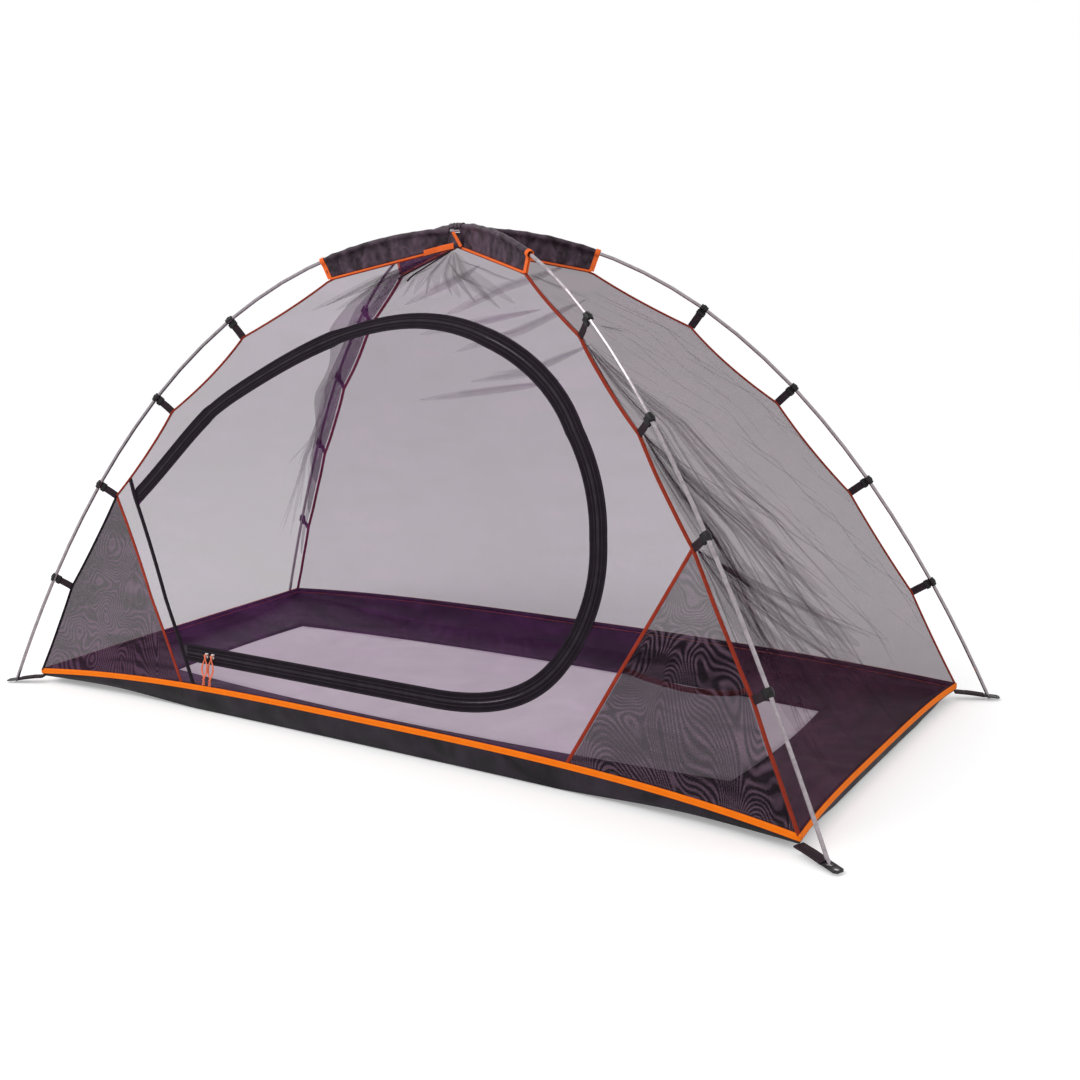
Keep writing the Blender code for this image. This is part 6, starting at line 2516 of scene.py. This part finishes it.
@dataclass
class CornerTabs(Dresser):
    """The webbing tabs at the four corners, over the two-hole strips that hold the poles' tips."""

    start_gap: float = 0.0004
    foot_height: float = 0.0075
    corner_height: float = 0.0160
    width: float = 0.0240
    webbing_end: float = -0.0095
    webbing_steps: int = 14
    fold_from: int = 5
    eyelets_at: tuple[Flat, ...] = ((0.0, 0.0052), (0.0165, 0.0051))
    eyelet_wire: float = 0.0010
    eyelet_height: float = 0.0009

    def build(self) -> None:
        """Make each tab's webbing and eyelets, and finish its strip."""
        for corner, seam in self.shape.seams.items():
            line = seam.arch.line[:4]
            pin = abs(float(np.interp(self.foot_height, line[:, 1], line[:, 0])))
            start = self.shape.hem_corner_radius + self.start_gap
            slope = math.atan2(self.corner_height - self.foot_height, pin - start)
            along = unit(seam.direction * math.cos(slope) - UP * math.sin(slope))
            side = unit(np.cross(UP, along))
            up = unit(np.cross(along, side))
            centre = seam.direction * pin + UP * self.foot_height
            self.webbing(corner.value, centre, (along, side, up), -(pin - start) / math.cos(slope))
            self.eyelets(corner.value, axes_at(centre, along, side, up))
            self.keep(f"{corner.value}_tab", "plastic")

    def webbing(self, corner: str, centre: Array, axes: tuple[Array, Array, Array], near: float) -> None:
        """Make the webbing that is folded round the strip's inner end.

        Args:
            corner: the corner's name.
            centre: the middle of the pole tip's hole.
            axes: the ways out from the tent, across the tab and out of its face.
            near: where the tab starts, from the centre.
        """
        along, side, up = axes
        stops = np.linspace(near - 0.004, self.webbing_end, self.webbing_steps)
        lift = np.sin((stops - near) / (self.webbing_end - near) * math.pi) * 0.0008
        places = centre + along * stops[:, None] + up * lift[:, None]
        sides, ups = (np.tile(way, (self.webbing_steps, 1)) for way in (side, up))
        lower = sweep(f"{corner}_tab_webbing", places, sides, ups, rounded(self.width * 1.06, 0.0036, 0.0004))
        rest = slice(self.fold_from, None)
        upper = sweep("tab_fold", places[rest] + up * 0.0018, sides[rest], ups[rest],
                      rounded(self.width, 0.0016, 0.0003))
        self.dress(join_pieces(f"{corner}_tab_webbing", [lower, upper]), "webbing", "black_webbing")

    def eyelets(self, corner: str, matrix: Matrix) -> None:
        """Press a metal eyelet into each of the strip's two holes.

        Args:
            corner: the corner's name.
            matrix: the strip's place and directions.
        """
        rings = []
        for reach, radius in self.eyelets_at:
            middle = (reach, 0.0, self.eyelet_height)
            deselect_all()
            bpy.ops.mesh.primitive_torus_add(major_segments=28, minor_segments=10, major_radius=radius,
                                             minor_radius=self.eyelet_wire, location=middle)
            bench = Bench.take(f"{corner}_eyelet")
            bench.start("SELECT")
            bpy.ops.transform.resize(value=(1.0, 1.0, 0.6), center_override=middle)
            bench.leave()
            rings.append(bench.soften(0.0001, 1, 70.0))
        piece = join_pieces(f"{corner}_tab_eyelets", rings)
        piece.data.transform(matrix)
        self.dress(piece, "grey_plastic", "zip_metal")


@dataclass
class Pulls(Dresser):
    """The two cord pulls that hang from the sliders, each looped over its bail and knotted."""

    seat: float = 0.0022
    cord: float = 0.0022
    length: float = 0.0520
    spreads: tuple[float, ...] = (0.0120, 0.0080)
    knot: float = 0.0086
    tail: float = 0.0130
    bail_bar: float = 0.0020
    zip_coil_height: float = 0.0014
    slide_gap: float = 0.0006
    slider_plate: float = 0.0013
    slider_length: float = 0.0100
    left_along: float = -0.4600
    right_along: float = -0.4400

    def carrier(self, along: float) -> Matrix:
        """The axes of a slider (right, up, out), at its place on the zip.

        Args:
            along: the slider's place along the front wall.

        Returns:
            The matrix of its place and directions.
        """
        wall, height = self.shape.front, self.shape.zip_run_height
        start = wall.point(self.left_along, height)
        run = unit(wall.point(self.shape.zip_run_end - self.slider_length * 3, height) - start)
        up = unit(np.cross(wall.normal(self.left_along, height), run))
        up = up if up[2] > 0 else -up
        reach = float((wall.point(along, height) - start) @ run)
        return axes_at(start + run * reach, run, up, unit(np.cross(run, up)))

    def build(self) -> None:
        """Make both pulls and finish both sliders."""
        bar = (self.zip_coil_height + self.slide_gap + self.slider_plate + self.seat + self.slide_gap
               + self.bail_bar / 2)
        loop = self.bail_bar / 2 + self.slide_gap / 2 + self.cord / 2
        for name, along, body, lean in (("left", self.left_along, Body.LEFT_PULL, -1.0),
                                        ("right", self.right_along, Body.RIGHT_PULL, 1.0)):
            matrix = self.carrier(along) @ Matrix.Translation((0.0, 0.0, bar))
            knot = self.knot_shape(lean)
            knot.name = f"{name}_zip_pull_knot"
            knot.data.transform(matrix)
            self.dress(knot, "orange_cord", "orange_cord", body)
            for way, side in ((1.0, "front"), (-1.0, "back")):
                for turn, spread in enumerate(self.spreads):
                    path = self.strand(loop, way, spread, (turn - 0.5) * self.cord * 1.06 * way)
                    piece = tube(f"{name}_zip_pull_{side}_{turn + 1}", path, self.cord / 2)
                    piece.data.transform(matrix)
                    first = way > 0 and turn == 0
                    self.dress(piece, "orange_cord", "orange_cord", body, f"{name}_zip_pull" if first else "")
            self.keep(f"{name}_zip_slider", "zip_metal")

    def strand(self, loop: float, way: float, spread: float,
               aside: float) -> list[tuple[float, float, float]]:
        """One strand of the loop, from the top of the bail's bar down to the knot, and the tail below it.

        Args:
            loop: the radius of the cord's bend over the bar.
            way: 1 for the front strand, which has the tail, or -1 for the back one.
            spread: how far it bows out sideways.
            aside: how far it lies beside the middle of the bar.

        Returns:
            Points of its middle line.
        """
        points = [(aside, loop * math.sin(turn), way * loop * math.cos(turn))
                  for turn in (math.pi / 2, math.pi / 2.6, math.pi / 4, math.pi / 9, 0.0)]
        for share in np.linspace(0.9, 0.0, 14):
            part = min(share * 1.7, 1.0)
            wide = loop * part + self.cord * 0.45 * (1 - part)
            bow = spread * abs(math.sin(math.pi * (1 - share) ** 1.25)) ** 0.85
            points.append((aside * share + way * bow, -self.length * (1 - share), way * wide))
        if way > 0:
            low, below = -self.length, -self.length - self.knot / 2
            far = 0.0030 if aside < 0 else -0.0026
            points += [(far * 0.2, low - self.knot * 0.4, 0.0006), (far * 0.5, low - self.knot * 0.7, 0.0004),
                       (far * 0.8, below - self.tail * 0.6, 0.0003), (far, below - self.tail, 0.0008)]
        return points

    def knot_shape(self, lean: float) -> Object:
        """Tie the overhand knot, as a cord wound round itself.

        Args:
            lean: which way the knot sits aside.

        Returns:
            The knot.
        """
        size = self.knot / 2 - self.cord * 0.42
        points = [(size * 0.75 * math.cos(turn) + lean * 0.0003,
                   -self.length + self.knot * 0.42 * math.sin(turn * 0.5 + 0.4),
                   size * 0.8 * math.sin(turn) * (0.8 + 0.2 * math.cos(turn * 1.5)))
                  for turn in np.linspace(0.0, 4 * math.pi, 44)]
        return tube("pull_knot", points, self.cord / 2 * 1.02)


@dataclass
class Poles(Dresser):
    """The two sectioned poles with the cords inside them."""

    sections: int = 6

    def build(self) -> None:
        """Finish the poles' tubes and the cords inside them."""
        for side in ("lower", "upper"):
            for index in range(self.sections):
                self.keep(f"{side}_pole_section_{index + 1}", "pole")
            self.keep(f"{side}_shock_cord", "shock_cord")


@dataclass
class Pocket(Dresser):
    """The sagging net pocket behind the right gusset, with its bound mouth."""

    height: float = 0.2600
    droop: float = 0.0200
    belly: float = 0.0260
    side_inset: float = 0.0060
    clearance: float = 0.0017
    foot_rise: float = 0.0120
    columns: int = 34
    rows: int = 20
    mouth_steps: int = 50
    facing_at: Flat = (0.7, 0.2)
    binding_size: tuple[float, float, float] = (0.0110, 0.0024, 0.0004)

    def place(self, share: float, rise: float) -> tuple[Array, float, float]:
        """A place on the pocket, by shares across and up, and its flat place.

        Args:
            share: the share of the way across.
            rise: the share of the way up.

        Returns:
            The point, the place along the wall and the height.
        """
        shape = self.shape
        belly = math.sin(math.pi * share)
        low = shape.gusset_foot_along + self.side_inset
        high = shape.front.edge(0.05, True) - 0.004 - self.side_inset
        foot_along = low + (high - low) * share
        foot = shape.hem_height(shape.front, foot_along) + self.foot_rise
        height = foot + (self.height - self.droop * belly - foot) * rise
        left = shape.gusset_line(1, height) + self.side_inset
        right = shape.front.edge(height, True) - 0.003 - self.side_inset
        along = left + (right - left) * share
        depth = self.clearance + self.belly * belly * math.sin(rise * math.pi / 2)
        depth += 0.0025 * float(ripple(np.array(share * 15.0), np.array(rise * 6.0), 2.2)) * belly * rise
        return shape.front.point(along, height) - shape.front.normal(along, height) * depth, along, height

    def build(self) -> None:
        """Make the pocket and the binding of its mouth."""
        points, uvs = [], []
        for rise in np.arange(self.rows) / (self.rows - 1):
            for share in np.arange(self.columns) / (self.columns - 1):
                point, along, height = self.place(float(share), float(rise))
                points.append(point)
                uvs.append((along * 0.98 + height * 0.05, height))
        piece = add_mesh("corner_pocket", points, grid_faces(self.rows, self.columns), uvs)
        self.sew(piece, "pocket_net", "dark_net", Body.TENT, "corner_pocket")
        mouth = np.array([self.place(share, 1.0)[0] for share in np.linspace(0.0, 1.0, self.mouth_steps)])
        binding = tape("corner_pocket_binding", mouth, self.shape.front.normal(*self.facing_at),
                       self.binding_size)
        self.dress(binding, "dark_red", "red_binding")


@dataclass
class Studio:
    """The camera at the photograph's angle, the pale floor and the soft light."""

    focal: float = 1321.19
    frame_size: float = 1080.0
    sensor: float = 36.0
    eye: tuple[float, float, float] = (1.8382, -2.4948, 1.0204)
    yaw: float = 0.5809
    pitch: float = 0.2073
    roll: float = -0.0304
    floor_size: float = 60.0
    floor_depth: float = 0.0012
    floor_glow: float = 0.26
    sky_strength: float = 0.82

    def camera(self) -> None:
        """Place the camera."""
        forward = Vector((-math.sin(self.yaw) * math.cos(self.pitch),
                          math.cos(self.yaw) * math.cos(self.pitch),
                          -math.sin(self.pitch)))
        level = Vector((math.cos(self.yaw), math.sin(self.yaw), 0.0))
        upright = level.cross(forward)
        right = level * math.cos(self.roll) + upright * math.sin(self.roll)
        up = upright * math.cos(self.roll) - level * math.sin(self.roll)
        data = bpy.data.cameras.new("photo_camera")
        data.sensor_width = self.sensor
        data.lens = self.focal * self.sensor / self.frame_size
        data.clip_start, data.clip_end = 0.05, 200.0
        made = link_new("photo_camera", data)
        made.matrix_world = axes_at(self.eye, right, up, -forward)
        bpy.context.scene.camera = made

    def floor(self) -> None:
        """Lay the pale floor just under the tent."""
        deselect_all()
        bpy.ops.mesh.primitive_plane_add(size=self.floor_size, location=(0.0, 0.0, -self.floor_depth))
        made = bpy.context.object
        made.name = "studio_floor"
        paint = Painter(bpy.data.materials.new("studio_floor"))
        glow = paint.times(paint.node("LightPath", {}, "Is Camera Ray"), self.floor_glow)
        paint.settings(base_color=(0.90, 0.90, 0.90), roughness=1.0, specular_ior_level=0.0,
                       emission_color=(1.0, 1.0, 1.0), emission_strength=glow)
        made.data.materials.append(paint.material)

    def world(self) -> None:
        """Light the scene evenly, with a plain white seen behind it."""
        world = bpy.data.worlds.new("studio_world")
        bpy.context.scene.world = world
        world.use_nodes = True
        nodes, links = world.node_tree.nodes, world.node_tree.links
        path, strength = nodes.new("ShaderNodeLightPath"), nodes.new("ShaderNodeMapRange")
        seen = path.outputs["Is Camera Ray"]
        for ray in ("Is Glossy Ray", "Is Transmission Ray"):
            either = nodes.new("ShaderNodeMath")
            either.operation = "MAXIMUM"
            links.new(seen, either.inputs[0])
            links.new(path.outputs[ray], either.inputs[1])
            seen = either.outputs[0]
        strength.inputs["To Min"].default_value = self.sky_strength
        links.new(seen, strength.inputs["Value"])
        nodes["Background"].inputs["Color"].default_value = (1.0, 1.0, 1.0, 1.0)
        links.new(strength.outputs[0], nodes["Background"].inputs["Strength"])

    def lamp(self, name: str, place: Sequence[float], aim: Sequence[float], size: float,
             power: float) -> None:
        """Hang one soft lamp.

        Args:
            name: its name.
            place: where it hangs.
            aim: where it points.
            size: its side.
            power: its power in watts.
        """
        data = bpy.data.lights.new(name, "AREA")
        data.shape, data.size, data.energy = "SQUARE", size, power
        made = link_new(name, data)
        made.location = place
        made.rotation_euler = (Vector(aim) - Vector(place)).to_track_quat("-Z", "Y").to_euler()

    def build(self) -> None:
        """Set up the whole studio."""
        bpy.context.scene.view_settings.view_transform = "Standard"
        self.camera()
        self.floor()
        self.world()
        self.lamp("key_lamp", (-2.0, -3.0, 4.2), (0.0, 0.0, 0.4), 3.0, 90.0)


def main() -> None:
    """Dress the whole tent."""
    logging.basicConfig(level=logging.INFO, format="%(name)s: %(message)s")
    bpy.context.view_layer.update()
    Studio().build()
    shape, materials = TentShape(), {key: finish.make() for key, finish in FINISHES.items()}
    for kind in (NetBody, Folds, Door, Bindings, Pocket, Tub, Sleeves, Crown, Clips, CornerTabs, Pulls,
                 Poles):
        part = kind(shape, materials)
        part.build()
        LOG.info("%s: %d pieces", kind.__name__, len(part.made))


if __name__ == "__main__":
    main()
